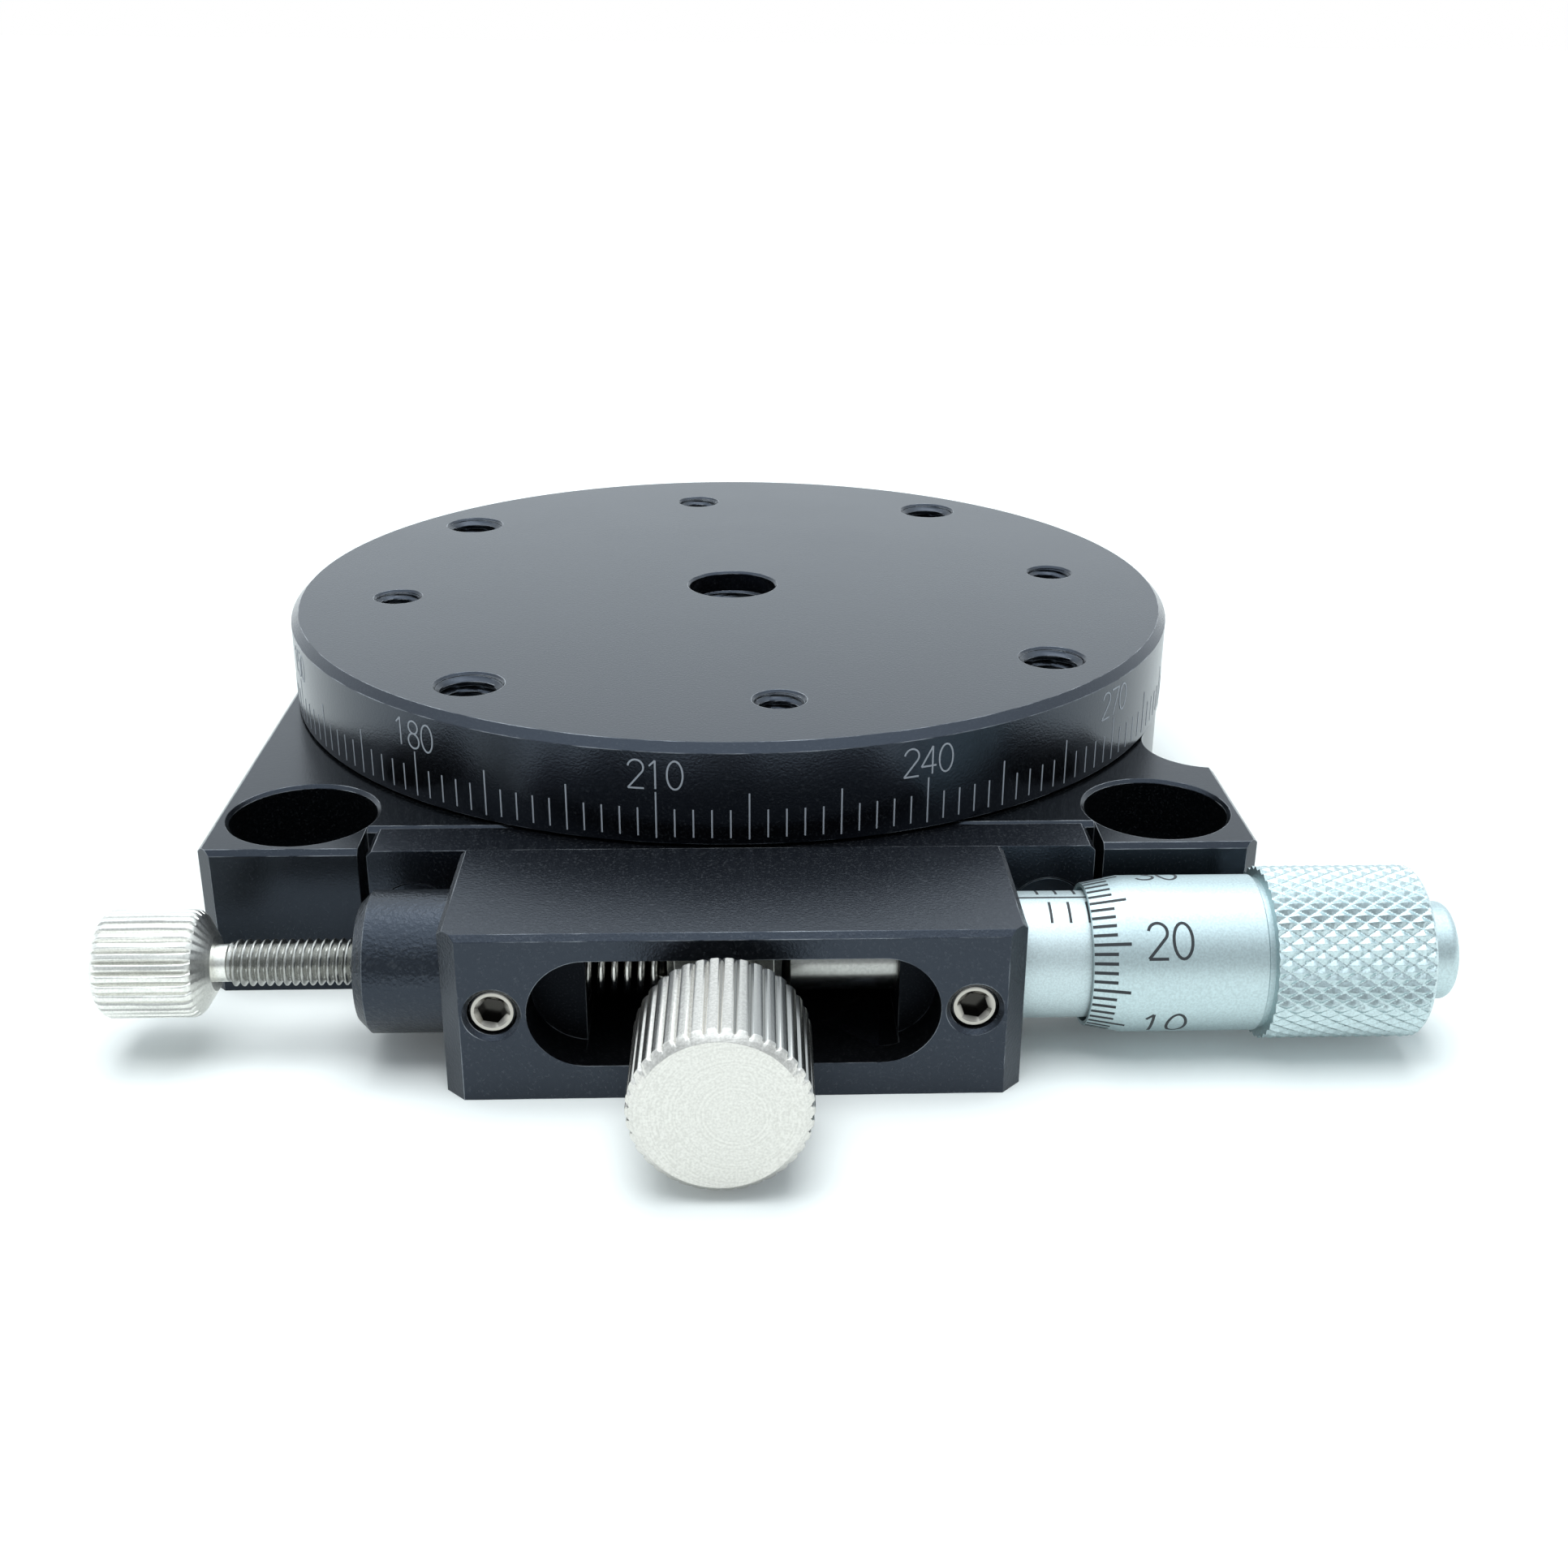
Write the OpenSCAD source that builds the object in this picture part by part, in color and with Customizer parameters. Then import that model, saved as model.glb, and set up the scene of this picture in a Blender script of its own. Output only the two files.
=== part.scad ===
// Manual rotation stage: a 60 mm round table on a deep-groove bearing, turned by hand and
// clamped to a tangent arm, which a micrometer head moves through about five degrees each way.
// Millimetres. +Z is up, z = 0 is the mounting face, the origin lies on the rotation axis.

/* [Table] */
// Diameter of the rotating table
table_d = 60; // [58:0.5:63]
// Thickness of the table plate
table_t = 6; // [5:0.5:8]
// Chamfer round the top edge of the table
table_chamfer = 0.5; // [0.3:0.1:0.8]
// Running gap under the table
table_gap = 0.2; // [0.1:0.05:0.4]
// Angle from +X to the zero of the dial at rest
dial_turn = 51.8; // [0:0.1:90]
// Side of the square of large tapped holes
large_square = 36; // [34:0.5:37]
// Thread diameter of the large tapped holes
large_d = 4; // [3:0.5:5]
// Diameter of the circle of small tapped holes
small_circle = 46; // [44:0.5:48]
// Thread diameter of the small tapped holes
small_d = 3; // [2:0.5:4]
// Thread diameter of the centre hole
centre_d = 6; // [4:0.5:8]

/* [Base] */
// Width and depth of the square base
base_w = 60; // [60:0.5:66]
// Height of the base
base_h = 8.8; // [8.6:0.1:10]
// Thickness of the floor inside the base
floor_t = 1.6; // [1.4:0.1:2]
// Spacing of the four mounting holes
mount_square = 50; // [48:0.5:50.5]
// Diameter of the mounting holes
mount_hole_d = 4.5; // [4.3:0.1:5]
// Diameter of the screw head recesses
mount_head_d = 8.4; // [7.5:0.1:8.8]
// Chamfer round the mouth of the screw head recesses
mount_rim = 0.2; // [0.1:0.05:0.3]
// Depth of the screw head recesses
mount_head_depth = 4.4; // [3:0.2:5]
// Width of the notch that holds the bracket
notch_w = 42; // [41:0.5:43]
// Depth of the notch that holds the bracket
notch_depth = 3; // [2.6:0.1:3.4]
// Fillet radius where the side cut meets a corner
scallop_r = 4; // [3:0.5:4.5]
// Chamfer on the long edges
edge_chamfer = 0.3; // [0.2:0.05:0.4]
// Chamfer on the upright corners of the base
corner_chamfer = 0.8; // [0.4:0.1:1.2]

/* [Bearing] */
// Bore of the bearing
bearing_bore_d = 15; // [14:0.5:15.5]
// Outer diameter of the bearing
bearing_od = 24; // [23.5:0.5:25]
// Width of the bearing
bearing_w = 5; // [4.5:0.1:5.2]
// Number of balls
ball_count = 14; // [10:1:15]
// Diameter of a ball
ball_d = 2.38; // [2.2:0.02:2.5]
// Bore through the bearing post
post_bore_d = 6.5; // [5:0.5:7]

/* [Tangent arm] */
// Wall of the table hub outside the bearing
hub_wall = 3.5; // [3:0.1:4]
// Wall of the clamp ring round the hub
ring_wall = 4.6; // [4:0.1:5]
// Width of the tangent arm
arm_w = 6; // [5:0.1:6.6]
// Height of the arm's middle above the mounting face
arm_z = 5; // [4.9:0.05:5.1]
// Angle of the arm at rest, from -Y
arm_rest = -0.79; // [-2:0.01:2]
// Length of the contact block on the end of the arm
block_len = 6.6; // [5.8:0.1:7]
// Thickness of the lower thrust washer
washer_t = 0.5; // [0.3:0.1:0.6]

/* [Bracket] */
// Width of the bracket block
bracket_w = 30; // [28:0.5:31]
// Reach of the bracket from the front of the base
bracket_reach = 11.6; // [11.4:0.1:13]
// Height of the bracket block above the base
bracket_rise = 0.7; // [0.4:0.1:1.2]
// Width of the pocket that the arm swings in
pocket_w = 16.4; // [15.6:0.1:17.2]
// Offset of the pocket towards the micrometer
pocket_shift = 0.45; // [0.2:0.05:0.6]
// Width of the slot in the front face
slot_w = 21.2; // [19:0.1:21.5]
// Depth of the slot in the front face
slot_depth = 2.6; // [2.4:0.1:2.9]
// Chamfer on the upright corners of the bracket
bracket_chamfer = 1; // [0.5:0.1:1.5]
// Thread diameter of the set screws
set_screw_d = 2.5; // [2:0.5:3]

/* [Micrometer] */
// Height of the micrometer axis above the mounting face
mic_z = 5.3; // [5.2:0.05:5.4]
// Distance of the micrometer axis in front of the base
mic_reach = 6.3; // [6.1:0.1:6.5]
// Diameter of the spindle
spindle_d = 3.5; // [3:0.1:3.8]
// Diameter of the stem held in the bracket
stem_d = 5.2; // [5:0.1:5.6]
// Diameter of the graduated sleeve
sleeve_d = 6.8; // [6.6:0.1:7]
// Diameter of the thimble
thimble_d = 8.4; // [8.2:0.1:8.7]
// Diameter over the knurl
knurl_d = 9.3; // [9.3:0.1:9.7]
// Length of the thimble
thimble_len = 17.95; // [17:0.05:19]
// Length of the knurl
knurl_len = 8.4; // [6:0.1:8.8]
// Distance from the bracket to the reading edge at rest
reading_gap = 3.7; // [3:0.05:5]
// Diameter of the cap on the end of the thimble
cap_d = 5.3; // [4.6:0.1:6]
// Length of the cap on the end of the thimble
cap_len = 2; // [1:0.1:3]

/* [Return spring] */
// Outer diameter of the spring barrel
barrel_d = 7.6; // [7:0.1:8]
// Length of the spring barrel outside the bracket
barrel_len = 4.7; // [4:0.1:6]
// Outer diameter of the return spring
spring_d = 4; // [3.8:0.1:4.2]
// Wire diameter of the return spring
wire_d = 0.4; // [0.3:0.05:0.45]
// Number of coils in the return spring
spring_coils = 20; // [14:1:22]

/* [Knurled screws] */
// Diameter of the arm clamp knob
knob_d = 8.9; // [7:0.1:9.2]
// Length of the arm clamp knob
knob_len = 7.5; // [5:0.1:10]
// Gap between the bracket and the clamp knob
knob_gap = 1.8; // [1:0.1:3]
// Number of flutes round the clamp knob
knob_flutes = 40; // [24:2:44]
// Diameter of the travel lock screw head
lock_head_d = 5.7; // [5:0.1:6.5]
// Length of the travel lock screw head
lock_head_len = 5.2; // [4:0.1:7]
// Number of flutes round the travel lock screw head
lock_flutes = 30; // [20:2:32]
// Thread diameter of the travel lock screw
lock_d = 2.5; // [2:0.1:2.6]
// Thread of the lock screw that shows outside the barrel
lock_reach = 7.7; // [6:0.1:9]

/* [Hidden] */
$fn = 64;

// Colours
black_anodised = [0.10, 0.11, 0.13];
black_oxide = [0.07, 0.07, 0.08];
satin_chrome = [0.78, 0.82, 0.84];
stainless = [0.72, 0.72, 0.72];
bearing_steel = [0.62, 0.64, 0.67];
spring_steel = [0.45, 0.45, 0.47];
brass = [0.78, 0.62, 0.30];
acetal = [0.90, 0.89, 0.84];

// Clearances
slide_gap = 0.05;        // between a running shaft and its bore, on the radius
fit_gap = 0.02;          // between a fixed pin and its bore, on the radius
rub_gap = 0.1;           // between turning faces that may not touch
cut = 1;                 // how far a cutting tool runs past a face
countersink = 0.15;      // widening at the mouth of a tapped hole, on the radius

// Table
table_r = table_d / 2;
table_z = base_h + table_gap;
total_h = table_z + table_t;
large_r = large_square * sqrt(2) / 2;
small_turn = 45;
corners = 4;

// Base
base_half = base_w / 2;
drum_inset = 0.1;        // drum inside the square, where the side is cut away
drum_r = base_half - drum_inset;
side_cut_past = 0.4;     // the side fillets' centres lie this far outside the base
scallop_x = base_half + side_cut_past;
scallop_y = sqrt(pow(drum_r + scallop_r, 2) - pow(scallop_x, 2));
tangent_y = scallop_y * drum_r / (drum_r + scallop_r);
notch_back = base_half - notch_depth;

// Bearing, post and hub
post_flange_t = 0.6;
post_shoulder_t = 0.8;
bearing_z0 = floor_t + post_flange_t + post_shoulder_t;
bearing_z1 = bearing_z0 + bearing_w;
bearing_section = (bearing_od - bearing_bore_d) / 2;
race_share = 0.355;      // race thickness, cage thickness and circlip width, as shares of it
cage_share = 0.155;
circlip_share = 0.33;
race_t = bearing_section * race_share;
shoulder_share = 0.75;   // height of the post's shoulder, as a share of the race
post_shoulder = race_t * shoulder_share;
pitch_r = (bearing_bore_d + bearing_od) / 4;
ball_z = (bearing_z0 + bearing_z1) / 2;
groove_r = ball_d / 2 + slide_gap;
cage_t = bearing_section * cage_share;
cage_rim = 0.5;          // cage above and below the balls
cage_h = ball_d + 2 * cage_rim;
shield_t = 0.2;
shield_inset = 0.15;
circlip_t = 0.6;
circlip_w = bearing_section * circlip_share;
circlip_seat = 0.4;      // depth of a circlip groove, on the radius
circlip_opening = 30;    // degrees left open between the ends
circlip_hole_turn = 7;   // degrees from an end to its plier hole
circlip_hole_r = 0.4;
circlip_hole_inset = 0.6;
post_rise = 0.3;         // post above its circlip
post_top = bearing_z1 + circlip_t + post_rise;
post_screw_d = 2;
post_screw_head_d = 3.8;
post_screw_circle = 10.8;
post_screw_len = 4;
post_screw_sink = 0.1;   // heads below the mounting face
post_screw_room = 0.3;   // left at the end of a blind hole
post_key = 1.3;
post_key_depth = 0.8;
hub_r = bearing_od / 2 + hub_wall;
hub_clear = 0.3;         // between the hub and the floor
hub_bottom = floor_t + hub_clear;
hub_lip = 1;             // shoulder over the outer ring, on the radius
recess_clear = 0.6;      // between the post and the table above it
recess_z = max(table_z, post_top) + recess_clear;

// Clamp ring and tangent arm
ring_r0 = hub_r + slide_gap;
ring_r1 = ring_r0 + ring_wall;
ring_z0 = floor_t + washer_t + slide_gap;
arm_h = 2 * (arm_z - ring_z0);
ring_z1 = ring_z0 + arm_h;
cavity_gap = 1.9;
cavity_r = ring_r1 + cavity_gap;
channel_w = 15;          // channel from the cavity to the notch
arm_root_w = 13;
arm_flare = 4;           // length over which the arm narrows
arm_overlap = 3.5;       // length of the arm's root inside the ring
arm_start = ring_r1 - arm_overlap;
block_gap = 0.2;         // between the block and the slot behind it
block_front = base_half + bracket_reach - slot_depth - block_gap;
block_back = block_front - block_len;
block_chamfer = 0.4;
spigot_r = 2.3;
spigot_len = 2.5;
screw_hole_r = 1.5;
clamp_screw_r = screw_hole_r - slide_gap;
pad_len = 2.8;
knob_back = base_half + bracket_reach + knob_gap;
knob_end_wall = 3;
knob_depth = knob_len - knob_end_wall;

// Bracket
front_y = -base_half;
bracket_front = base_half + bracket_reach;
bracket_h = base_h + bracket_rise;
bracket_side = bracket_w / 2;
table_clear = 1.5;       // between the table's edge and the raised block
raised_back = table_r + table_clear;
flange_gap = 0.5;
flange_w = notch_w - 2 * flange_gap;
flange_drop = 0.05;      // flange below the base's top
flange_h = base_h - flange_drop;
pocket_x0 = pocket_shift - pocket_w / 2;
pocket_x1 = pocket_shift + pocket_w / 2;
pocket_clear = 0.4;      // pocket taller than the arm, above and below together
pocket_h = arm_h + pocket_clear;
slot_r = pocket_h / 2;
grip_wall = 0.35;        // between the slot's ends and what the bracket grips at each side
grip_x = slot_w / 2 + grip_wall;
guide_gap = 0.1;         // between the spindle and its way through the bracket
set_screw_land = 0.5;    // wall between a set screw and the slot
set_screw_sink = 0.24;   // countersink at the mouth of its hole
set_screw_x = slot_w / 2 + set_screw_d / 2 + set_screw_land;
set_screw_bevel = 0.15;
set_screw_inset = 0.35;
set_key = 1.3;
set_key_depth = 1.2;
flange_screw_z = base_h / 2;
flange_screw_d = 2.5;
flange_head_d = 4.5;
flange_head_recess = 4.7;
flange_screw_land = 0.15;
flange_screw_x = flange_w / 2 - flange_head_recess / 2 - flange_screw_land;
flange_head_len = 2;
flange_head_depth = 2.1;
flange_screw_len = 5;
flange_key = 2;
flange_key_depth = 1.3;

// Micrometer
mic_y = base_half + mic_reach;
arm_at_mic = mic_y * tan(arm_rest);
arm_face = arm_w / 2 / cos(arm_rest);
contact_gap = 0.06;
tip_round = 4;
spindle_tip = arm_at_mic + arm_face + contact_gap;
sleeve_start = bracket_side;
thimble_start = bracket_side + reading_gap;
thimble_end = thimble_start + thimble_len;
thimble_wall_in = 3.6;   // end wall of the thimble
travel_room = 3.6;       // between the sleeve's end and the thimble's end wall
sleeve_end = thimble_end - thimble_wall_in - travel_room;
nut_len = 2.4;
nut_step = 0.3;          // nut below the sleeve, on the radius
nut_wall = 0.7;
nut_r = sleeve_d / 2 - nut_step;
nut_seat_r = nut_r - nut_wall;
nut_inset = 0.1;
nut_slot_w = 0.8;
nut_slot_depth = 0.8;
spindle_neck_r = 1.2;
neck_len = 2.7;
cap_spigot_r = 1.9;
cap_spigot_len = 0.8;
cap_bevel = 0.4;
bevel_len = 2;
bevel_drop = 0.38;
groove_len = 0.35;
groove_drop = 0.18;
knurl_bevel = 0.2;
thimble_bore = sleeve_d / 2 + slide_gap;

// Return spring and travel lock screw
spring_room = 0.2;       // between the spring and its bore, on the radius
spring_end_gap = 0.1;
barrel_bore_r = spring_d / 2 + spring_room;
barrel_wall = 2.2;       // end wall of the barrel
barrel_chamfer = 0.6;
barrel_out = bracket_side + barrel_len;
spring_start = -barrel_out + barrel_wall + spring_end_gap;
spring_end = arm_at_mic - arm_face - spring_end_gap;
spring_steps = 12;       // rings of the swept wire in one coil
wire_sides = 6;
lock_neck_r = 1;
lock_neck_len = 0.7;
lock_shoulder_len = 0.7;
lock_shoulder_r = 1.5;
lock_tip_r = 1.1;
lock_tip_len = 0.8;
lock_tip_gap = 5.5;      // between the tip and the arm at rest
lock_tip_x = arm_at_mic - arm_face - lock_tip_gap;
lock_thread_bevel = 0.2;
lock_head_x1 = -barrel_out - lock_reach;
lock_shank_x0 = lock_head_x1 + lock_neck_len;
flute_depth = 0.22;
flute_land = 0.2;        // half width of a land, as a share of the pitch
flute_crown = 0.12;      // fall of a land's edges, as a share of the depth
head_chamfer = 0.4;

// Straight bodies along each axis

module rod_z(z0, z1, r) {
    translate([0, 0, z0]) cylinder(h = z1 - z0, r = r);
}

module ring_z(z0, z1, r0, r1) {
    difference() {
        rod_z(z0, z1, r1);
        rod_z(z0 - cut, z1 + cut, r0);
    }
}

// A round bar along the micrometer axis from x0 to x1
module rod_x(x0, x1, r) {
    translate([x0, -mic_y, mic_z]) rotate([0, 90, 0]) cylinder(h = x1 - x0, r = r);
}

// A round bar from front distance d0 to d1, at x and z
module rod_y(d0, d1, r, x = 0, z = arm_z) {
    translate([x, -d0, z]) rotate([90, 0, 0]) cylinder(h = d1 - d0, r = r);
}

// A turned body about the micrometer axis, its profile given as [radius, x] points
module turned_x(profile) {
    translate([0, -mic_y, mic_z]) rotate([0, 90, 0]) rotate_extrude() polygon(profile);
}

// A box by its lowest and highest corners
module block(low, high) {
    translate(low) cube(high - low);
}

// The wedge that a chamfer takes off an edge along X at the distance and height given
module edge_x(x0, x1, y, z, c) {
    translate([x0, y, z]) rotate([45, 0, 0])
        translate([0, -c / sqrt(2), -c / sqrt(2)]) cube([x1 - x0, c * sqrt(2), c * sqrt(2)]);
}

// The same wedge on an edge along Y
module edge_y(y0, y1, x, z, c) {
    translate([x, y0, z]) rotate([0, 45, 0])
        translate([-c / sqrt(2), 0, -c / sqrt(2)]) cube([c * sqrt(2), y1 - y0, c * sqrt(2)]);
}

// A hexagon socket along -Z from the top at z, across flats af
module hex_socket(af, depth) {
    translate([0, 0, -depth]) cylinder(h = depth + cut, d = af / cos(30), $fn = 6);
}

// A square of copies at spacing s
module at_corners(s) {
    for (x = [-1, 1], y = [-1, 1])
        translate([x * s / 2, y * s / 2, 0]) children();
}

// Copies round the axis at radius r, the first at angle a
module round_axis(n, r, a) {
    for (i = [0 : n - 1])
        rotate(a + i * 360 / n) translate([r, 0, 0]) children();
}

// A fluted outline: round lands between V grooves
function flute_points(r, n, depth) = [
    for (i = [0 : n - 1], k = [0 : 3])
        let (a = (i + [-0.5, -flute_land, 0, flute_land][k]) * 360 / n,
             q = r - depth * [1, flute_crown, 0, flute_crown][k])
            [q * cos(a), q * sin(a)]];

// Base

module base_outline() {
    h = base_half;
    c = corner_chamfer;
    polygon([[-h + c, -h], [h - c, -h], [h, -h + c], [h, h - c],
        [h - c, h], [-h + c, h], [-h, h - c], [-h, -h + c]]);
}

module side_cut() {
    difference() {
        block([drum_r / 2, -tangent_y, -cut], [base_half + cut, tangent_y, base_h + cut]);
        rod_z(-2 * cut, base_h + 2 * cut, drum_r);
    }
    for (s = [-1, 1])
        translate([scallop_x, s * scallop_y, -cut]) cylinder(h = base_h + 2 * cut, r = scallop_r);
}

module mounting_hole() {
    rod_z(-cut, base_h + cut, mount_hole_d / 2);
    rod_z(base_h - mount_head_depth, base_h + cut, mount_head_d / 2);
    translate([0, 0, base_h - mount_rim])
        cylinder(h = mount_rim + cut, r1 = mount_head_d / 2, r2 = mount_head_d / 2 + mount_rim + cut);
}

module base_edges() {
    far = base_half + cut;
    edge_x(-far, -notch_w / 2, -base_half, base_h, edge_chamfer);
    edge_x(notch_w / 2, far, -base_half, base_h, edge_chamfer);
    edge_x(-notch_w / 2, notch_w / 2, -notch_back, base_h, edge_chamfer);
    edge_x(-far, far, base_half, base_h, edge_chamfer);
    edge_y(-far, far, -base_half, base_h, edge_chamfer);
    edge_y(-far, -scallop_y, base_half, base_h, edge_chamfer);
    edge_y(scallop_y, far, base_half, base_h, edge_chamfer);
}

module base_plate() {
    color(black_anodised)
    difference() {
        linear_extrude(base_h) base_outline();
        side_cut();
        block([-notch_w / 2, -base_half - cut, -cut], [notch_w / 2, -notch_back, base_h + cut]);
        rod_z(floor_t, base_h + cut, cavity_r);
        block([-channel_w / 2, -notch_back - cut, floor_t], [channel_w / 2, 0, base_h + cut]);
        at_corners(mount_square) mounting_hole();
        base_edges();
        rod_z(-cut, floor_t + cut, post_bore_d / 2);
        round_axis(corners, post_screw_circle / 2, 0) {
            rod_z(-cut, floor_t + cut, post_screw_d / 2 + fit_gap);
            rod_z(-cut, post_screw_sink, post_screw_head_d / 2);
            translate([0, 0, post_screw_sink])
                cylinder(h = post_screw_head_d / 2 - post_screw_d / 2,
                    r1 = post_screw_head_d / 2, r2 = post_screw_d / 2 + fit_gap);
        }
        for (s = [-1, 1])
            rod_y(notch_back - flange_screw_len - cut, base_half, flange_screw_d / 2 + fit_gap,
                s * flange_screw_x, flange_screw_z);
    }
}

module bearing_post() {
    color(bearing_steel)
    difference() {
        union() {
            rod_z(floor_t, floor_t + post_flange_t, bearing_od / 2 - race_t);
            rod_z(floor_t, bearing_z0, bearing_bore_d / 2 + post_shoulder);
            rod_z(floor_t, post_top, bearing_bore_d / 2);
        }
        rod_z(0, post_top + cut, post_bore_d / 2);
        ring_z(bearing_z1, bearing_z1 + circlip_t, bearing_bore_d / 2 - circlip_seat, bearing_bore_d);
        round_axis(corners, post_screw_circle / 2, 0)
            rod_z(floor_t - cut, floor_t + post_screw_len, post_screw_d / 2 + fit_gap);
    }
}

module post_screws() {
    head_t = post_screw_head_d / 2 - post_screw_d / 2;
    color(stainless)
    round_axis(corners, post_screw_circle / 2, 0)
        difference() {
            union() {
                translate([0, 0, post_screw_sink + fit_gap])
                    cylinder(h = head_t, r1 = post_screw_head_d / 2 - fit_gap, r2 = post_screw_d / 2);
                rod_z(post_screw_sink + head_t, floor_t + post_screw_len - post_screw_room,
                    post_screw_d / 2);
            }
            translate([0, 0, post_key_depth + post_screw_sink]) hex_socket(post_key, post_key_depth);
        }
}

// Bearing

module bearing_groove() {
    translate([0, 0, ball_z]) rotate_extrude() translate([pitch_r, 0]) circle(r = groove_r);
}

module bearing_inner_ring() {
    color(bearing_steel)
    difference() {
        ring_z(bearing_z0, bearing_z1, bearing_bore_d / 2, bearing_bore_d / 2 + race_t);
        bearing_groove();
    }
}

module bearing_outer_ring() {
    color(bearing_steel)
    difference() {
        ring_z(bearing_z0, bearing_z1, bearing_od / 2 - race_t, bearing_od / 2);
        bearing_groove();
    }
}

module bearing_shields() {
    color(stainless)
    for (z = [bearing_z0 + shield_inset, bearing_z1 - shield_inset - shield_t])
        ring_z(z, z + shield_t, bearing_bore_d / 2 + race_t + rub_gap,
            bearing_od / 2 - race_t);
}

module bearing_balls() {
    color(bearing_steel)
    round_axis(ball_count, pitch_r, 0) translate([0, 0, ball_z]) sphere(d = ball_d);
}

module bearing_cage() {
    color(brass)
    difference() {
        ring_z(ball_z - cage_h / 2, ball_z + cage_h / 2, pitch_r - cage_t / 2, pitch_r + cage_t / 2);
        round_axis(ball_count, pitch_r, 0) translate([0, 0, ball_z]) sphere(r = groove_r);
    }
}

// A retaining ring with a gap and two plier holes
module circlip(z, r0, r1, hole_r) {
    difference() {
        ring_z(z, z + circlip_t, r0, r1);
        rotate(-circlip_opening / 2)
            translate([0, 0, z - cut])
                rotate_extrude(angle = circlip_opening)
                    translate([r0 - cut, 0]) square([r1 - r0 + 2 * cut, circlip_t + 2 * cut]);
        for (s = [-1, 1])
            rotate(s * (circlip_opening / 2 + circlip_hole_turn))
                translate([hole_r, 0, 0]) rod_z(z - cut, z + circlip_t + cut, circlip_hole_r);
    }
}

module post_circlip() {
    r0 = bearing_bore_d / 2 - circlip_seat + fit_gap;
    color(black_oxide)
    circlip(bearing_z1, r0, r0 + circlip_w, r0 + circlip_w - circlip_hole_inset);
}

module hub_circlip() {
    r1 = bearing_od / 2 + circlip_seat - fit_gap;
    color(black_oxide)
    rotate(180)
        circlip(bearing_z0 - circlip_t, r1 - circlip_w, r1, r1 - circlip_w + circlip_hole_inset);
}

// Table

module tapped_hole(d, z0) {
    rod_z(z0 - cut, total_h + cut, d / 2);
    translate([0, 0, total_h - countersink])
        cylinder(h = countersink + cut, r1 = d / 2, r2 = d / 2 + countersink + cut);
}

module table_plate() {
    color(black_anodised)
    difference() {
        union() {
            rod_z(table_z, total_h - table_chamfer, table_r);
            translate([0, 0, total_h - table_chamfer])
                cylinder(h = table_chamfer, r1 = table_r, r2 = table_r - table_chamfer);
            rod_z(hub_bottom, table_z + cut, hub_r);
        }
        rod_z(hub_bottom - cut, bearing_z1, bearing_od / 2);
        rod_z(hub_bottom - cut, recess_z, bearing_od / 2 - hub_lip);
        ring_z(bearing_z0 - circlip_t, bearing_z0, bearing_bore_d / 2, bearing_od / 2 + circlip_seat);
        tapped_hole(centre_d, recess_z);
        round_axis(corners, large_r, dial_turn) tapped_hole(large_d, table_z);
        round_axis(corners, small_circle / 2, dial_turn + small_turn) tapped_hole(small_d, table_z);
    }
}

module lower_thrust_washer() {
    color(acetal)
    ring_z(floor_t, floor_t + washer_t, hub_r + rub_gap, ring_r1 - rub_gap);
}

module upper_thrust_washer() {
    color(acetal)
    ring_z(ring_z1 + slide_gap, table_z, hub_r + fit_gap, ring_r1 - rub_gap);
}

// Tangent arm

module arm_frame() {
    rotate(arm_rest) children();
}

module clamp_ring() {
    flare = ring_r1 + arm_flare;
    color(black_anodised)
    arm_frame()
    difference() {
        union() {
            rod_z(ring_z0, ring_z1, ring_r1);
            translate([0, 0, ring_z0]) linear_extrude(arm_h)
                polygon([[-arm_root_w / 2, -arm_start], [arm_root_w / 2, -arm_start],
                    [arm_w / 2, -flare], [arm_w / 2, -block_back],
                    [-arm_w / 2, -block_back], [-arm_w / 2, -flare]]);
        }
        rod_z(ring_z0 - cut, ring_z1 + cut, ring_r0);
        rod_y(0, block_back + cut, screw_hole_r);
        rod_y(block_back - spigot_len - fit_gap, block_back + cut, spigot_r + fit_gap);
    }
}

module contact_block() {
    a = arm_w / 2;
    c = block_chamfer;
    color(stainless)
    arm_frame()
    difference() {
        union() {
            translate([0, 0, ring_z0]) linear_extrude(arm_h)
                polygon([[-a, -block_back], [a, -block_back], [a, -block_front + c],
                    [a - c, -block_front], [-a + c, -block_front], [-a, -block_front + c]]);
            rod_y(block_back - spigot_len, block_back + cut, spigot_r);
        }
        rod_y(block_back - spigot_len - cut, block_front + cut, screw_hole_r);
    }
}

module clamp_pad() {
    color(brass)
    arm_frame()
    difference() {
        rod_y(hub_r - cut, hub_r + pad_len, clamp_screw_r);
        rod_z(ring_z0 - cut, ring_z1 + cut, ring_r0);
    }
}

module clamp_screw() {
    color(stainless)
    arm_frame() rod_y(hub_r + pad_len + slide_gap, knob_back + knob_depth, clamp_screw_r);
}

// A fluted head along +Z from 0 to len, chamfered at both ends
module fluted_head(r, len, n) {
    intersection() {
        linear_extrude(len) polygon(flute_points(r, n, flute_depth));
        rotate_extrude() polygon([[0, 0], [r - head_chamfer, 0], [r, head_chamfer],
            [r, len - head_chamfer], [r - head_chamfer, len], [0, len]]);
    }
}

module clamp_knob() {
    color(stainless)
    arm_frame()
    difference() {
        translate([0, -knob_back, arm_z]) rotate([90, 0, 0])
            fluted_head(knob_d / 2, knob_len, knob_flutes);
        rod_y(knob_back - cut, knob_back + knob_depth, clamp_screw_r);
    }
}

// Bracket

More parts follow.
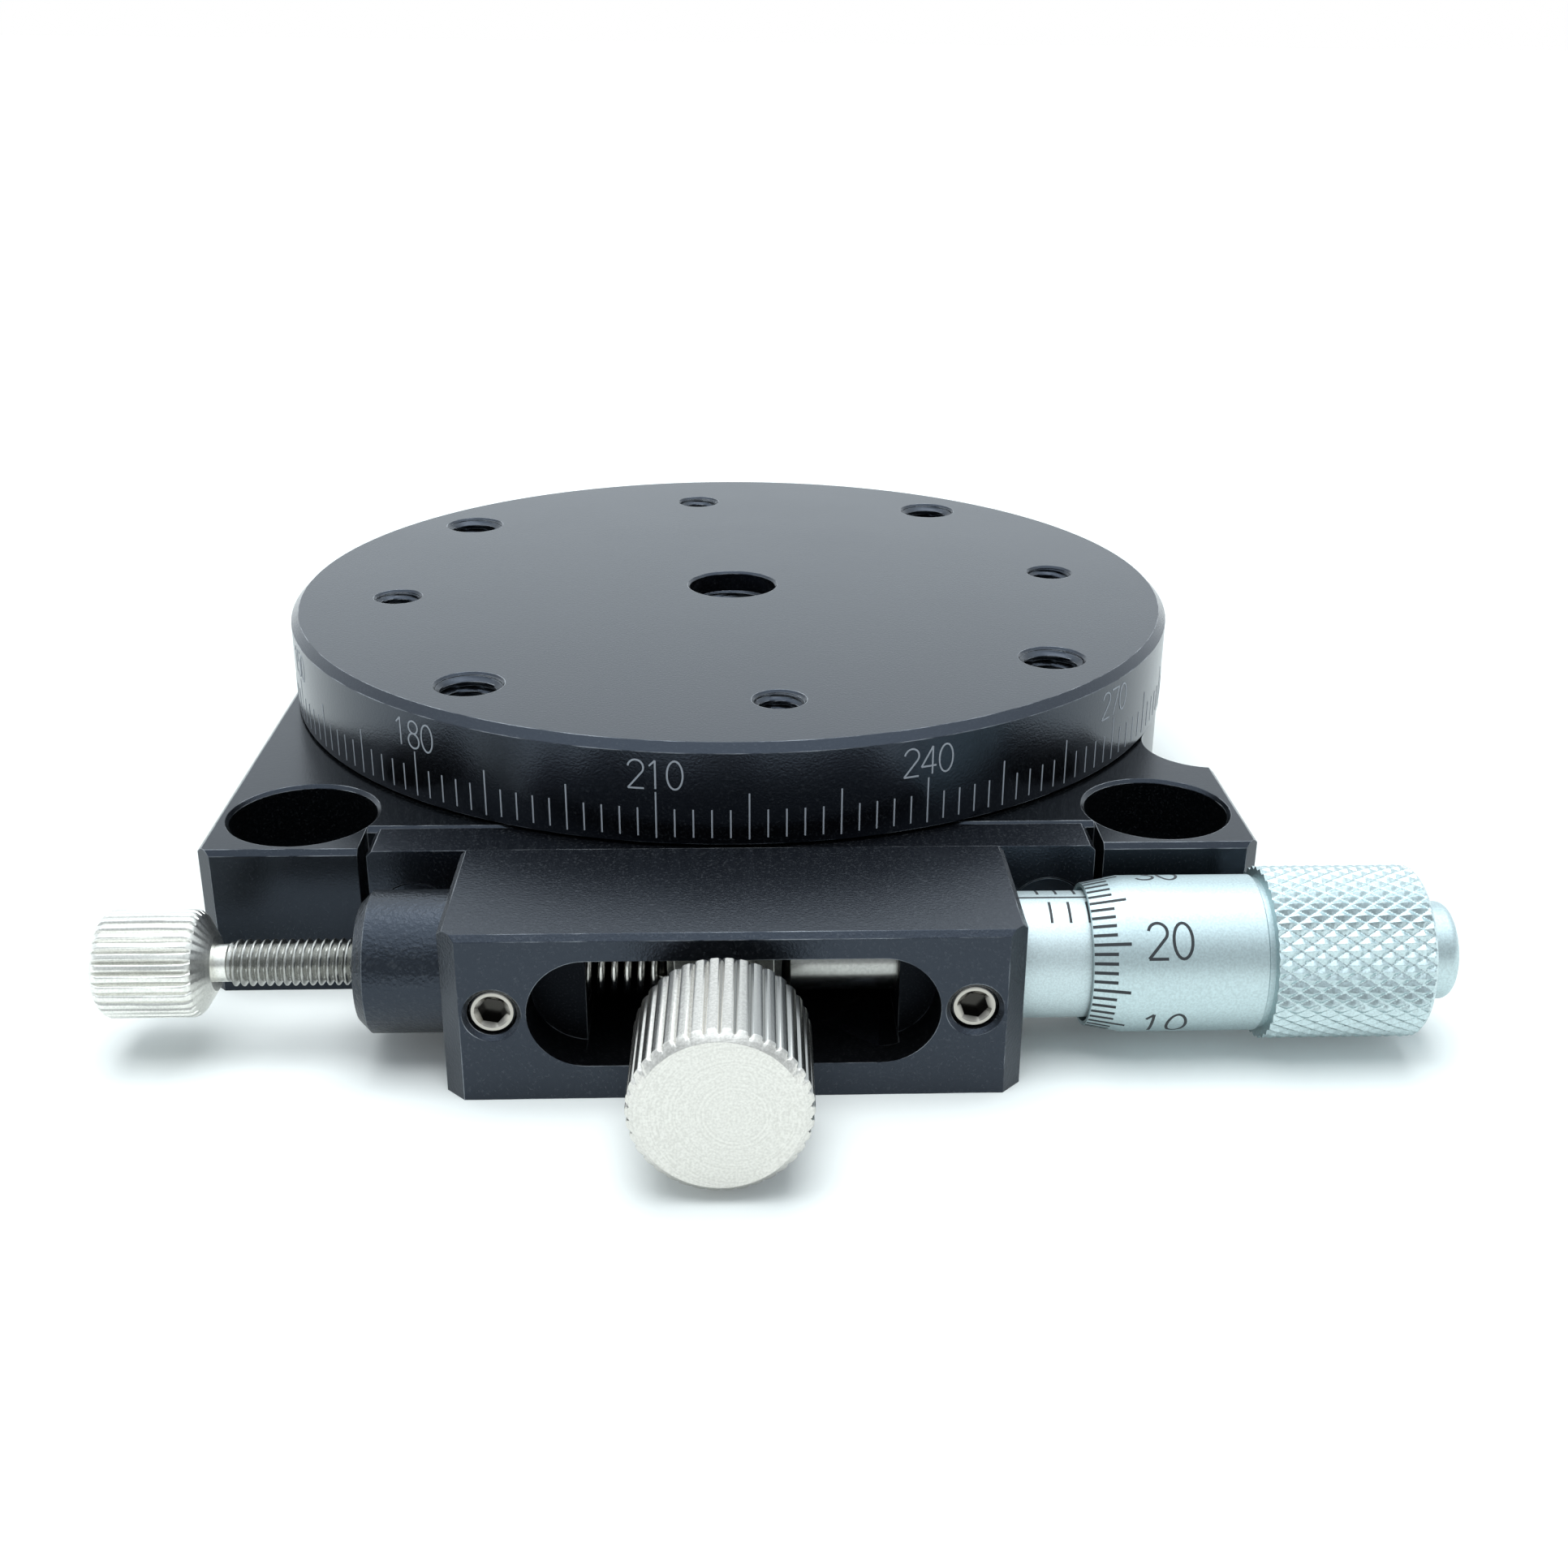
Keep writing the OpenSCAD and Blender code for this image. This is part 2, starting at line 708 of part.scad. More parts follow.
module bracket_solid() {
    s = bracket_side;
    c = bracket_chamfer;
    f = bracket_front;
    linear_extrude(flange_h)
        polygon([[-s, front_y], [-s, -f + c], [-s + c, -f], [s - c, -f], [s, -f + c], [s, front_y]]);
    translate([0, 0, flange_h - cut]) linear_extrude(bracket_h - flange_h + cut)
        polygon([[-s, -raised_back], [-s, -f + c], [-s + c, -f],
            [s - c, -f], [s, -f + c], [s, -raised_back]]);
    block([-flange_w / 2, front_y, 0], [flange_w / 2, -notch_back, flange_h]);
}

module bracket_edges() {
    far = bracket_side + cut;
    edge_x(-far, far, -bracket_front, bracket_h, edge_chamfer);
    edge_y(-bracket_front - cut, -raised_back + cut, -bracket_side, bracket_h, edge_chamfer);
    edge_y(-bracket_front - cut, -raised_back + cut, bracket_side, bracket_h, edge_chamfer);
    for (s = [-1, 1])
        edge_y(front_y - edge_chamfer, -notch_back + cut, s * flange_w / 2, flange_h, edge_chamfer);
}

module slot_front() {
    d0 = bracket_front - slot_depth;
    reach = slot_w / 2 - slot_r;
    block([-reach, -bracket_front - cut, arm_z - slot_r], [reach, -d0, arm_z + slot_r]);
    for (s = [-1, 1])
        rod_y(d0, bracket_front + cut, slot_r, s * reach);
}

module set_screw_mouth(x) {
    r = set_screw_d / 2 + fit_gap;
    translate([x, -bracket_front + set_screw_sink, arm_z]) rotate([90, 0, 0])
        cylinder(h = set_screw_sink + cut, r1 = r, r2 = r + set_screw_sink + cut);
}

module micrometer_bracket() {
    color(black_anodised)
    difference() {
        bracket_solid();
        block([pocket_x0, -bracket_front + slot_depth - cut, arm_z - slot_r],
            [pocket_x1, -notch_back + cut, arm_z + slot_r]);
        slot_front();
        rod_x(0, bracket_side, spindle_d / 2 + guide_gap);
        rod_x(-bracket_side, 0, barrel_bore_r);
        rod_x(grip_x, bracket_side + cut, stem_d / 2 + fit_gap);
        rod_x(-bracket_side - cut, -grip_x, stem_d / 2 + fit_gap);
        for (s = [-1, 1]) {
            rod_y(mic_y, bracket_front + cut, set_screw_d / 2 + fit_gap, s * set_screw_x);
            set_screw_mouth(s * set_screw_x);
            rod_y(notch_back - cut, base_half + cut, flange_screw_d / 2 + fit_gap,
                s * flange_screw_x, flange_screw_z);
            rod_y(base_half - flange_head_depth, base_half + cut, flange_head_recess / 2,
                s * flange_screw_x, flange_screw_z);
        }
        bracket_edges();
    }
}

module bracket_screws() {
    seat = base_half - flange_head_depth;
    color(black_oxide)
    for (s = [-1, 1])
        difference() {
            union() {
                rod_y(seat, seat + flange_head_len, flange_head_d / 2,
                    s * flange_screw_x, flange_screw_z);
                rod_y(notch_back - flange_screw_len, seat, flange_screw_d / 2,
                    s * flange_screw_x, flange_screw_z);
            }
            translate([s * flange_screw_x, -seat - flange_head_len, flange_screw_z])
                rotate([90, 0, 0]) hex_socket(flange_key, flange_key_depth);
        }
}

module bracket_set_screws() {
    outer = bracket_front - set_screw_inset;
    r = set_screw_d / 2;
    b = set_screw_bevel;
    color(stainless)
    for (s = [-1, 1])
        let (x = s * set_screw_x)
        difference() {
            union() {
                rod_y(mic_y + stem_d / 2 + fit_gap, outer - b, r, x);
                translate([x, -outer + b, arm_z]) rotate([90, 0, 0]) cylinder(h = b, r1 = r, r2 = r - b);
            }
            translate([x, -outer, arm_z]) rotate([90, 0, 0]) hex_socket(set_key, set_key_depth);
        }
}

// Micrometer head

module micrometer_sleeve() {
    color(satin_chrome)
    difference() {
        union() {
            rod_x(grip_x, sleeve_start + cut, stem_d / 2);
            rod_x(sleeve_start, sleeve_end - nut_len, sleeve_d / 2);
            rod_x(sleeve_end - nut_len - cut, sleeve_end, nut_seat_r);
        }
        rod_x(grip_x - cut, sleeve_end + cut, spindle_d / 2 + slide_gap);
    }
}

module sleeve_nut() {
    color(satin_chrome)
    difference() {
        rod_x(sleeve_end - nut_len, sleeve_end - nut_inset, nut_r);
        rod_x(sleeve_end - nut_len - cut, sleeve_end + cut, nut_seat_r);
        block([sleeve_end - nut_inset - nut_slot_depth, -mic_y - nut_r - cut, mic_z - nut_slot_w / 2],
            [sleeve_end + cut, -mic_y + nut_r + cut, mic_z + nut_slot_w / 2]);
    }
}

module micrometer_spindle() {
    shoulder = thimble_end - thimble_wall_in - rub_gap;
    r = spindle_d / 2;
    color(stainless)
    intersection() {
        union() {
            rod_x(spindle_tip, shoulder, r);
            rod_x(shoulder - cut, shoulder + neck_len, spindle_neck_r);
        }
        union() {
            translate([spindle_tip + tip_round, -mic_y, mic_z]) sphere(r = tip_round);
            rod_x(spindle_tip + tip_round / 2, thimble_end, r + cut);
        }
    }
}

module micrometer_thimble() {
    x0 = thimble_start;
    x1 = thimble_end;
    r = thimble_d / 2;
    k = knurl_d / 2;
    knurl_x = x1 - knurl_len;
    wall = x1 - thimble_wall_in;
    spigot_x = x1 - cap_spigot_len;
    color(satin_chrome)
    turned_x([[thimble_bore, x0], [r - bevel_drop, x0], [r, x0 + bevel_len],
        [r, knurl_x - groove_len - groove_drop], [r - groove_drop, knurl_x - groove_len],
        [r - groove_drop, knurl_x], [k, knurl_x + knurl_bevel], [k, x1 - knurl_bevel],
        [k - knurl_bevel, x1], [cap_spigot_r, x1], [cap_spigot_r, spigot_x],
        [spindle_neck_r + slide_gap, spigot_x], [spindle_neck_r + slide_gap, wall],
        [thimble_bore, wall]]);
}

module thimble_cap() {
    x0 = thimble_end;
    x1 = thimble_end + cap_len;
    r = cap_d / 2;
    c = cap_bevel;
    spigot_r0 = cap_spigot_r - fit_gap;
    spigot_x = x0 - cap_spigot_len + fit_gap;
    color(satin_chrome)
    turned_x([[0, spigot_x], [spigot_r0, spigot_x],
        [spigot_r0, x0], [r, x0], [r, x1 - c], [r - c, x1], [0, x1]]);
}

// Return spring and travel lock screw

module spring_barrel() {
    r = barrel_d / 2;
    stem = stem_d / 2;
    out = -barrel_out;
    seat = out + barrel_wall;
    color(black_anodised)
    turned_x([[lock_d / 2 + slide_gap, out], [r - barrel_chamfer, out], [r, out + barrel_chamfer],
        [r, -bracket_side], [stem, -bracket_side], [stem, -grip_x],
        [barrel_bore_r, -grip_x], [barrel_bore_r, seat], [lock_d / 2 + slide_gap, seat]]);
}

// Rings of points swept along the coil, each in the plane across the wire
function coil_ring(i) =
    let (t = i / (spring_coils * spring_steps),
         a = 360 * spring_coils * t,
         m = (spring_d - wire_d) / 2,
         w = wire_d / 2,
         x = spring_start + w + t * (spring_end - spring_start - wire_d))
    [for (j = [0 : wire_sides - 1])
        let (b = 360 * j / wire_sides, q = m + w * cos(b))
        [x + w * sin(b), -mic_y + q * cos(a), mic_z + q * sin(a)]];

module return_spring() {
    n = spring_coils * spring_steps;
    s = wire_sides;
    points = [for (i = [0 : n]) each coil_ring(i)];
    sides = [for (i = [0 : n - 1], j = [0 : s - 1])
        let (p = i * s + j, q = i * s + (j + 1) % s)
        each [[p, q, q + s], [p, q + s, p + s]]];
    start_cap = [[for (j = [s - 1 : -1 : 0]) j]];
    end_cap = [[for (j = [0 : s - 1]) n * s + j]];
    color(spring_steel)
    polyhedron(points = points, faces = concat(sides, start_cap, end_cap));
}

module lock_screw_tip() {
    color(brass)
    rod_x(lock_tip_x - lock_tip_len, lock_tip_x, lock_tip_r);
}

module travel_lock_screw() {
    x1 = lock_head_x1;
    x0 = x1 - lock_shoulder_len - lock_head_len;
    r = lock_head_d / 2;
    end = lock_tip_x - lock_tip_len - slide_gap;
    color(stainless) {
        translate([x0, -mic_y, mic_z]) rotate([0, 90, 0])
            fluted_head(r, lock_head_len, lock_flutes);
        turned_x([[0, x1 - lock_shoulder_len - head_chamfer], [r - head_chamfer, x1 - lock_shoulder_len],
            [lock_shoulder_r, x1], [lock_neck_r, x1], [lock_neck_r, lock_shank_x0],
            [lock_d / 2, lock_shank_x0 + lock_thread_bevel], [lock_d / 2, end], [0, end]]);
    }
}

base_plate();
bearing_post();
post_screws();
bearing_inner_ring();
post_circlip();
lower_thrust_washer();
micrometer_bracket();
bracket_screws();
bracket_set_screws();
micrometer_sleeve();
sleeve_nut();
spring_barrel();
return_spring();
table_plate();
bearing_outer_ring();
bearing_shields();
hub_circlip();
upper_thrust_washer();
bearing_balls();
bearing_cage();
clamp_ring();
contact_block();
clamp_pad();
clamp_screw();
clamp_knob();
micrometer_spindle();
micrometer_thimble();
thimble_cap();
lock_screw_tip();
travel_lock_screw();
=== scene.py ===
# %% [markdown]
# # A manual rotation stage in its finishes
#
# The stage is a round dial table on a square base. It turns by hand, and a micrometer
# head moves it finely through a tangent arm. The shapes come from CAD as a fixed frame.
# This lesson adds what CAD leaves out: the engraved scales, the knurl, the threads, the
# return spring's wire and the finishes. Blender's lengths are metres. Sizes are written
# here in millimetres, and the factor MM turns one into the other.

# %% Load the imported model
import bpy
import numpy as np
from mathutils import Matrix, Vector


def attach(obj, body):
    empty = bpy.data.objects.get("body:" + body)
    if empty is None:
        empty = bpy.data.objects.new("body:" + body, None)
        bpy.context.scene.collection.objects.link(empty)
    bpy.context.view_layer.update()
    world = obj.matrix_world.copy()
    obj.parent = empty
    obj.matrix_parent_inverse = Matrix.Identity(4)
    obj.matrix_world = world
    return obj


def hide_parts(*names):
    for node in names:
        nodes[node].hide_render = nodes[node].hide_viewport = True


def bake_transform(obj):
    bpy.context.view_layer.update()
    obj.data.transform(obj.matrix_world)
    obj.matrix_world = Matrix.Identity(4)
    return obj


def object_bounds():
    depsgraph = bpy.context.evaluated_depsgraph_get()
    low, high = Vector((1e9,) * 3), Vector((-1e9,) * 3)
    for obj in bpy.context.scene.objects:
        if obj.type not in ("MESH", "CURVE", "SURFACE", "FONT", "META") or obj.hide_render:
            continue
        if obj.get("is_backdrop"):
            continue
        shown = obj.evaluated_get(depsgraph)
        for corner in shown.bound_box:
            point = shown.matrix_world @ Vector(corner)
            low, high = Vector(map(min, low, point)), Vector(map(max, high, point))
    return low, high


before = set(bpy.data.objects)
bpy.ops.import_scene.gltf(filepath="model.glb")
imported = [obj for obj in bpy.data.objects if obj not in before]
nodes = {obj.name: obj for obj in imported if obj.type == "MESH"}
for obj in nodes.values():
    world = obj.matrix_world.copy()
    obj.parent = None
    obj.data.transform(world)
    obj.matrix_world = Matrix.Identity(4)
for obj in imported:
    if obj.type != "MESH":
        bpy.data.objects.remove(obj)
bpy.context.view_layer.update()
MM = 0.001

# %% [markdown]
# ## Camera
#
# The stage is small, so it is seen from close by, and its near parts look much larger
# than its far ones. A camera could be placed by eye, but the perspective is then hard to
# get right. Here its place and three turns are numbers, so that they can be tuned: it
# stands 52 mm above the table that carries the stage and looks 22 degrees down.

# %% Camera
CAMERA_AT = (0.065, -121.559, 52.439)
YAW, PITCH, ROLL = -0.0448, 0.3894, 0.0109
LENS, SHIFT_X, SHIFT_Y = 41.34, -0.01595, -0.0230
NEAREST, FARTHEST = 0.005, 20


def camera_turn(yaw, pitch, roll):
    """Three unit vectors as columns: right, up, and back.

    Yaw turns about +Z, pitch looks down and roll leans, all in radians."""
    forward = np.array([-np.sin(yaw) * np.cos(pitch), np.cos(yaw) * np.cos(pitch), -np.sin(pitch)])
    right = np.array([np.cos(yaw), np.sin(yaw), 0.0])
    up = np.cross(right, forward)
    leaning = np.cos(roll) * right + np.sin(roll) * up
    return np.stack([leaning, np.cross(leaning, forward), -forward], axis=1)


scene = bpy.context.scene
camera = bpy.data.objects.new("camera", bpy.data.cameras.new("camera"))
scene.collection.objects.link(camera)
turn = Matrix([list(row) for row in camera_turn(YAW, PITCH, ROLL)]).to_4x4()
camera.matrix_world = Matrix.Translation(Vector(CAMERA_AT) * MM) @ turn
camera.data.lens = LENS
camera.data.shift_x = SHIFT_X
camera.data.shift_y = SHIFT_Y
camera.data.clip_start = NEAREST
camera.data.clip_end = FARTHEST
scene.camera = camera
scene.view_settings.view_transform = "Standard"
print("camera at", CAMERA_AT, "lens", camera.data.lens)

# %% [markdown]
# ## Colours and nodes
#
# Colours are written as people read them, in sRGB hex, but light adds up in linear
# numbers, so one function converts them. A second one adds a node with its settings and
# links, and every material below is written with it.

# %% Colour and node helpers


def linear(code):
    """An sRGB hex colour as linear red, green, blue and alpha."""
    value = np.array([int(code[i:i + 2], 16) for i in (1, 3, 5)]) / 255
    curved = ((value + 0.055) / 1.055) ** 2.4
    return (*np.where(value <= 0.04045, value / 12.92, curved).tolist(), 1.0)


def add(tree, kind, inputs=None, **settings):
    """A new node. inputs holds a constant or another node's socket for each input by name or number."""
    node = tree.nodes.new(kind)
    for key, value in settings.items():
        setattr(node, key, value)
    for key, value in (inputs or {}).items():
        if isinstance(value, bpy.types.NodeSocket):
            tree.links.new(value, node.inputs[key])
        else:
            node.inputs[key].default_value = value
    return node


def start_material(name, colour, **sockets):
    """A material with one Principled shader, its constants set on the shader's own sockets."""
    material = bpy.data.materials.new(name)
    material.use_nodes = True
    tree = material.node_tree
    shader = tree.nodes["Principled BSDF"]
    shader.inputs["Base Color"].default_value = linear(colour)
    for key, value in sockets.items():
        shader.inputs[key.replace("_", " ")].default_value = value
    where = add(tree, "ShaderNodeTexCoord").outputs["Object"]
    return material, tree, shader, where


print("linear grey #808080:", round(linear("#808080")[0], 4))

# %% [markdown]
# ## Floor, backdrop and light
#
# Small parts are shown on a white sweep under soft light. The floor could be lit until it
# turns white, but that would also bleach the metal. Instead its own material adds a little
# white of its own to what the camera and the reflections see. That white grows with the
# distance, so the floor is white far out and still keeps the soft shadow under the stage.
#
# Polished metal shows the room more than its lamps, so the room is drawn too: its walls get
# brighter towards the back and its ceiling is bright. One large soft lamp in front lights the
# stage. Metal doesn't mirror that one, because its square would burn out the chrome. A weak
# lamp overhead is mirrored, and gives the rounded parts their soft highlight.

# %% Floor
floor_mesh = bpy.data.meshes.new("floor")
FLOOR_REACH = 3.0
OWN_WHITE_FROM, OWN_WHITE_FULL = 40, 300
corners = [(x * FLOOR_REACH, y * FLOOR_REACH, 0) for x, y in ((-1, -1), (1, -1), (1, 1), (-1, 1))]
floor_mesh.from_pydata(corners, [], [(0, 1, 2, 3)])
floor = bpy.data.objects.new("floor", floor_mesh)
scene.collection.objects.link(floor)
floor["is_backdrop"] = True

material, tree, shader, where = start_material("white_sweep_paper", "#EFF6F6", Roughness=0.9)
shader.inputs["Specular IOR Level"].default_value = 0.0
path = add(tree, "ShaderNodeLightPath")
seen = add(tree, "ShaderNodeMath", {0: path.outputs["Is Camera Ray"], 1: path.outputs["Is Glossy Ray"]},
           operation="MAXIMUM")
seen = add(tree, "ShaderNodeMath", {0: seen.outputs[0], 1: path.outputs["Is Transmission Ray"]},
           operation="MAXIMUM")
away = add(tree, "ShaderNodeVectorMath", {0: where}, operation="LENGTH")
own = add(tree, "ShaderNodeMapRange",
          {"Value": away.outputs["Value"], "From Min": OWN_WHITE_FROM * MM,
           "From Max": OWN_WHITE_FULL * MM, "To Min": 0.05, "To Max": 1.0})
lift = add(tree, "ShaderNodeMath", {0: seen.outputs[0], 1: own.outputs[0]}, operation="MULTIPLY")
own_white = add(tree, "ShaderNodeEmission", {"Color": linear("#FFFFFF"), "Strength": lift.outputs[0]})
both = add(tree, "ShaderNodeAddShader", {0: shader.outputs[0], 1: own_white.outputs[0]})
tree.links.new(both.outputs[0], tree.nodes["Material Output"].inputs["Surface"])
floor.data.materials.append(material)
print("floor is", 2 * FLOOR_REACH, "m wide")

# %% World and lamps
ROOM_LIGHT = 0.52
world = bpy.data.worlds.new("white_room")
scene.world = world
world.use_nodes = True
tree = world.node_tree
tree.nodes.clear()
path = add(tree, "ShaderNodeLightPath")
direction = add(tree, "ShaderNodeTexCoord").outputs["Generated"]
part = add(tree, "ShaderNodeSeparateXYZ", {0: direction})
wall = add(tree, "ShaderNodeMapRange", {"Value": part.outputs["Y"], "From Min": -1.0, "From Max": 0.2,
                                        "To Min": 0.5, "To Max": 1.36})
ceiling = add(tree, "ShaderNodeMapRange",
              {"Value": part.outputs["Z"], "From Min": 0.6, "From Max": 0.9, "To Max": 1.3})
mirrored = add(tree, "ShaderNodeMath", {0: wall.outputs[0], 1: ceiling.outputs[0]}, operation="ADD")
seen = add(tree, "ShaderNodeMix",
           {"Factor": path.outputs["Is Diffuse Ray"], "A": mirrored.outputs[0], "B": ROOM_LIGHT})
lit = add(tree, "ShaderNodeBackground", {"Color": linear("#ECF5FB"), "Strength": seen.outputs[0]})
white = add(tree, "ShaderNodeBackground", {"Color": linear("#FFFFFF"), "Strength": 1.0})
shown = add(tree, "ShaderNodeMixShader",
            {0: path.outputs["Is Camera Ray"], 1: lit.outputs[0], 2: white.outputs[0]})
add(tree, "ShaderNodeOutputWorld", {"Surface": shown.outputs[0]})


def lamp(name, at, size, watts, mirrored=True):
    """A white, square, soft lamp at a point in millimetres, aimed at the origin.

    size is its side in millimetres, and mirrored says if metal shows it."""
    data = bpy.data.lights.new(name, "AREA")
    data.shape = "SQUARE"
    data.size = size * MM
    data.energy = watts
    light = bpy.data.objects.new(name, data)
    scene.collection.objects.link(light)
    light.location = Vector(at) * MM
    light.rotation_mode = "QUATERNION"
    light.rotation_quaternion = (-Vector(at)).to_track_quat("-Z", "Y")
    light.visible_glossy = mirrored
    return light


lamp("front_softbox", (-20, -80, 420), 330, 1.5, mirrored=False)
lamp("overhead_softbox", (30, 90, 420), 240, 0.3)

# %% [markdown]
# ## Black anodised aluminium
#
# The table, base, bracket, ring and barrel are machined aluminium, blasted with fine
# beads and then anodised black. The dyed oxide layer is clear and glassy over black, so
# the parts look black head on and blue grey at a flat angle, and the blasting spreads the
# reflection and gives the chamfers a fine grain. Bead dents are about 0.1 mm across, and
# they are drawn 0.12 to 0.24 mm across, as coarse as they have to be to show. Machined
# edges are broken, so the shader rounds them a little to catch the light. There the colour
# goes part way to the aluminium's own: partly wear, as the black wears thin first there,
# and partly a painted highlight. The tops of the dents get painted glints of that colour.

# %% Black anodised finishes
BROKEN_EDGE = 0.07
# The colour of edge wear, of the painted edge highlights and of the painted glints.
ALUMINIUM_WEAR_AND_HIGHLIGHT = "#B9C0C6"


def anodised(name, colour, roughness, dent_mm, deep_um, gloss=0.5, wear_and_highlight=0.9, glint=0.03):
    """Dyed oxide over blasted aluminium: a dark coat-like surface, noise dents, and rounded edges.

    Where the rounded normal leaves the true one, there is an edge. A noise breaks it up,
    and the colour there goes part of the way to the aluminium's: partly wear and partly a
    painted highlight, and wear_and_highlight gives how far. The tops between the dents get
    painted glints of that colour too, and glint gives how much."""
    material, tree, shader, where = start_material(name, colour, Roughness=roughness, IOR=1.65)
    shader.inputs["Specular IOR Level"].default_value = gloss
    shader.inputs["Specular Tint"].default_value = linear("#D6E6FF")
    round_edge = add(tree, "ShaderNodeBevel", {"Radius": BROKEN_EDGE * MM}, samples=4)
    dents = add(tree, "ShaderNodeTexNoise",
                {"Vector": where, "Scale": 1 / (dent_mm * MM), "Detail": 2.0, "Roughness": 0.6})
    dented = add(tree, "ShaderNodeBump", {"Distance": deep_um * 0.001 * MM,
                                          "Height": dents.outputs["Fac"], "Normal": round_edge.outputs[0]})
    tree.links.new(dented.outputs[0], shader.inputs["Normal"])
    blotch = add(tree, "ShaderNodeTexNoise", {"Vector": where, "Scale": 1 / (9 * MM), "Detail": 3.0})
    spread = add(tree, "ShaderNodeMapRange", {"Value": blotch.outputs["Fac"], "To Min": roughness - 0.03,
                                              "To Max": roughness + 0.03})
    tree.links.new(spread.outputs[0], shader.inputs["Roughness"])
    true_normal = add(tree, "ShaderNodeNewGeometry").outputs["Normal"]
    bent = add(tree, "ShaderNodeVectorMath", {0: round_edge.outputs[0], 1: true_normal},
               operation="DOT_PRODUCT")
    # Painted highlight and wear along the rounded edges, broken up in patches by a noise.
    edge = add(tree, "ShaderNodeMapRange",
               {"Value": bent.outputs["Value"], "From Min": 0.995, "From Max": 0.93})
    edge_patches = add(tree, "ShaderNodeTexNoise", {"Vector": where, "Scale": 1 / (2.5 * MM), "Detail": 4.0})
    broken = add(tree, "ShaderNodeMapRange",
                 {"Value": edge_patches.outputs["Fac"], "From Min": 0.42, "From Max": 0.62, "To Max": wear_and_highlight})
    # Painted glints: the tops of the dents get some of the aluminium's colour.
    painted_glints = add(tree, "ShaderNodeMapRange",
                 {"Value": dents.outputs["Fac"], "From Min": 0.55, "From Max": 0.75, "To Max": glint})
    wear_highlight_and_glints = add(tree, "ShaderNodeMath", {0: edge.outputs[0], 1: broken.outputs[0], 2: painted_glints.outputs[0]},
               operation="MULTIPLY_ADD")
    shown = add(tree, "ShaderNodeMix",
                {"Factor": wear_highlight_and_glints.outputs[0], "A": linear(colour), "B": linear(ALUMINIUM_WEAR_AND_HIGHLIGHT)},
                data_type="RGBA")
    tree.links.new(shown.outputs["Result"], shader.inputs["Base Color"])
    return material


table_black = anodised("fine_blasted_black_table", "#030304", 0.22, 0.14, 10, gloss=0.42)
base_black = anodised("milled_black_base", "#030405", 0.24, 0.12, 8, gloss=0.3)
bracket_black = anodised("fine_blasted_black_bracket", "#07080B", 0.27, 0.15, 18, gloss=0.42, glint=0.045)
barrel_black = anodised("coarse_blasted_black_barrel", "#050607", 0.28, 0.24, 50, gloss=0.42, glint=0.035)
# Painted shade: the slot's faces get a darker, duller black than the bracket.
slot_painted_shade = anodised("painted_shade_in_milled_slot", "#020203", 0.5, 0.12, 8, gloss=0.08, wear_and_highlight=0.4)
print("black finishes:", [m.name for m in (table_black, base_black, bracket_black, barrel_black, slot_painted_shade)])

# %% [markdown]
# ## Metals
#
# The micrometer is satin chromed steel, blasted before plating so its scales can be read
# without glare. The fluted screws are turned stainless steel, with marks that run round
# the axis. Balls and races are ground and hardened steel, and the small screws are nickel
# plated or black oxide. A metal takes its look from its colour, its roughness and the
# direction of its tool marks. The sleeve's plating is so matt that part of its light is
# scattered as by paint, so its Metallic is a little under 1.

# %% Metal finishes
MIC_Y, MIC_Z = -36.3, 5.3  # the micrometer's axis, which the spring and the lock screw share
ARM_Z = 5.0  # the height of the arm, the clamp screw and the set screws
METAL_EDGE, TOOL_MARK = 0.05, 0.005  # the rounding of edges, and how deep the grain is


def metal(name, colour, roughness, grain_mm, bump):
    """Bare or plated metal with a noise grain, which dents it and mottles its colour a little."""
    material, tree, shader, where = start_material(name, colour, Metallic=1.0, Roughness=roughness)
    grain = add(tree, "ShaderNodeTexNoise",
                {"Vector": where, "Scale": 1 / (grain_mm * MM), "Detail": 2.0})
    round_edge = add(tree, "ShaderNodeBevel", {"Radius": METAL_EDGE * MM}, samples=4)
    rough = add(tree, "ShaderNodeBump", {"Strength": bump, "Distance": TOOL_MARK * MM,
                                         "Height": grain.outputs["Fac"], "Normal": round_edge.outputs[0]})
    tree.links.new(rough.outputs[0], shader.inputs["Normal"])
    fine = add(tree, "ShaderNodeMapRange", {"Value": grain.outputs["Fac"], "From Min": 0.35, "From Max": 0.65,
                                            "To Min": 0.88, "To Max": 1.04})
    mottled = add(tree, "ShaderNodeVectorMath", {0: linear(colour)[:3], "Scale": fine.outputs[0]},
                  operation="SCALE")
    tree.links.new(mottled.outputs[0], shader.inputs["Base Color"])
    return material


satin_chrome = metal("satin_chromed_steel", "#BDCDCF", 0.43, 0.12, 0.9)
sleeve_chrome = metal("fine_blasted_chrome_sleeve", "#C6D4D6", 0.45, 0.10, 0.9)
sleeve_chrome.node_tree.nodes["Principled BSDF"].inputs["Metallic"].default_value = 0.75
knurl_chrome = metal("chromed_pressed_knurl", "#BDCDCF", 0.27, 0.12, 0.6)
turned_steel = metal("turned_stainless_steel", "#D9D9D3", 0.24, 0.15, 0.3)
nickel = metal("nickel_plated_steel", "#D8D2C8", 0.16, 0.2, 0.2)
bearing_steel = metal("ground_bearing_steel", "#C4C8CC", 0.14, 0.2, 0.1)
spring_wire = metal("drawn_spring_wire", "#C9C7C2", 0.18, 0.1, 0.2)
turned_brass = metal("turned_brass", "#C9A458", 0.26, 0.15, 0.3)
print("metals:", [m.name for m in (satin_chrome, sleeve_chrome, knurl_chrome, turned_steel, nickel)])
print("and:", [m.name for m in (bearing_steel, spring_wire, turned_brass)])

# %% Faced ends and socket screws


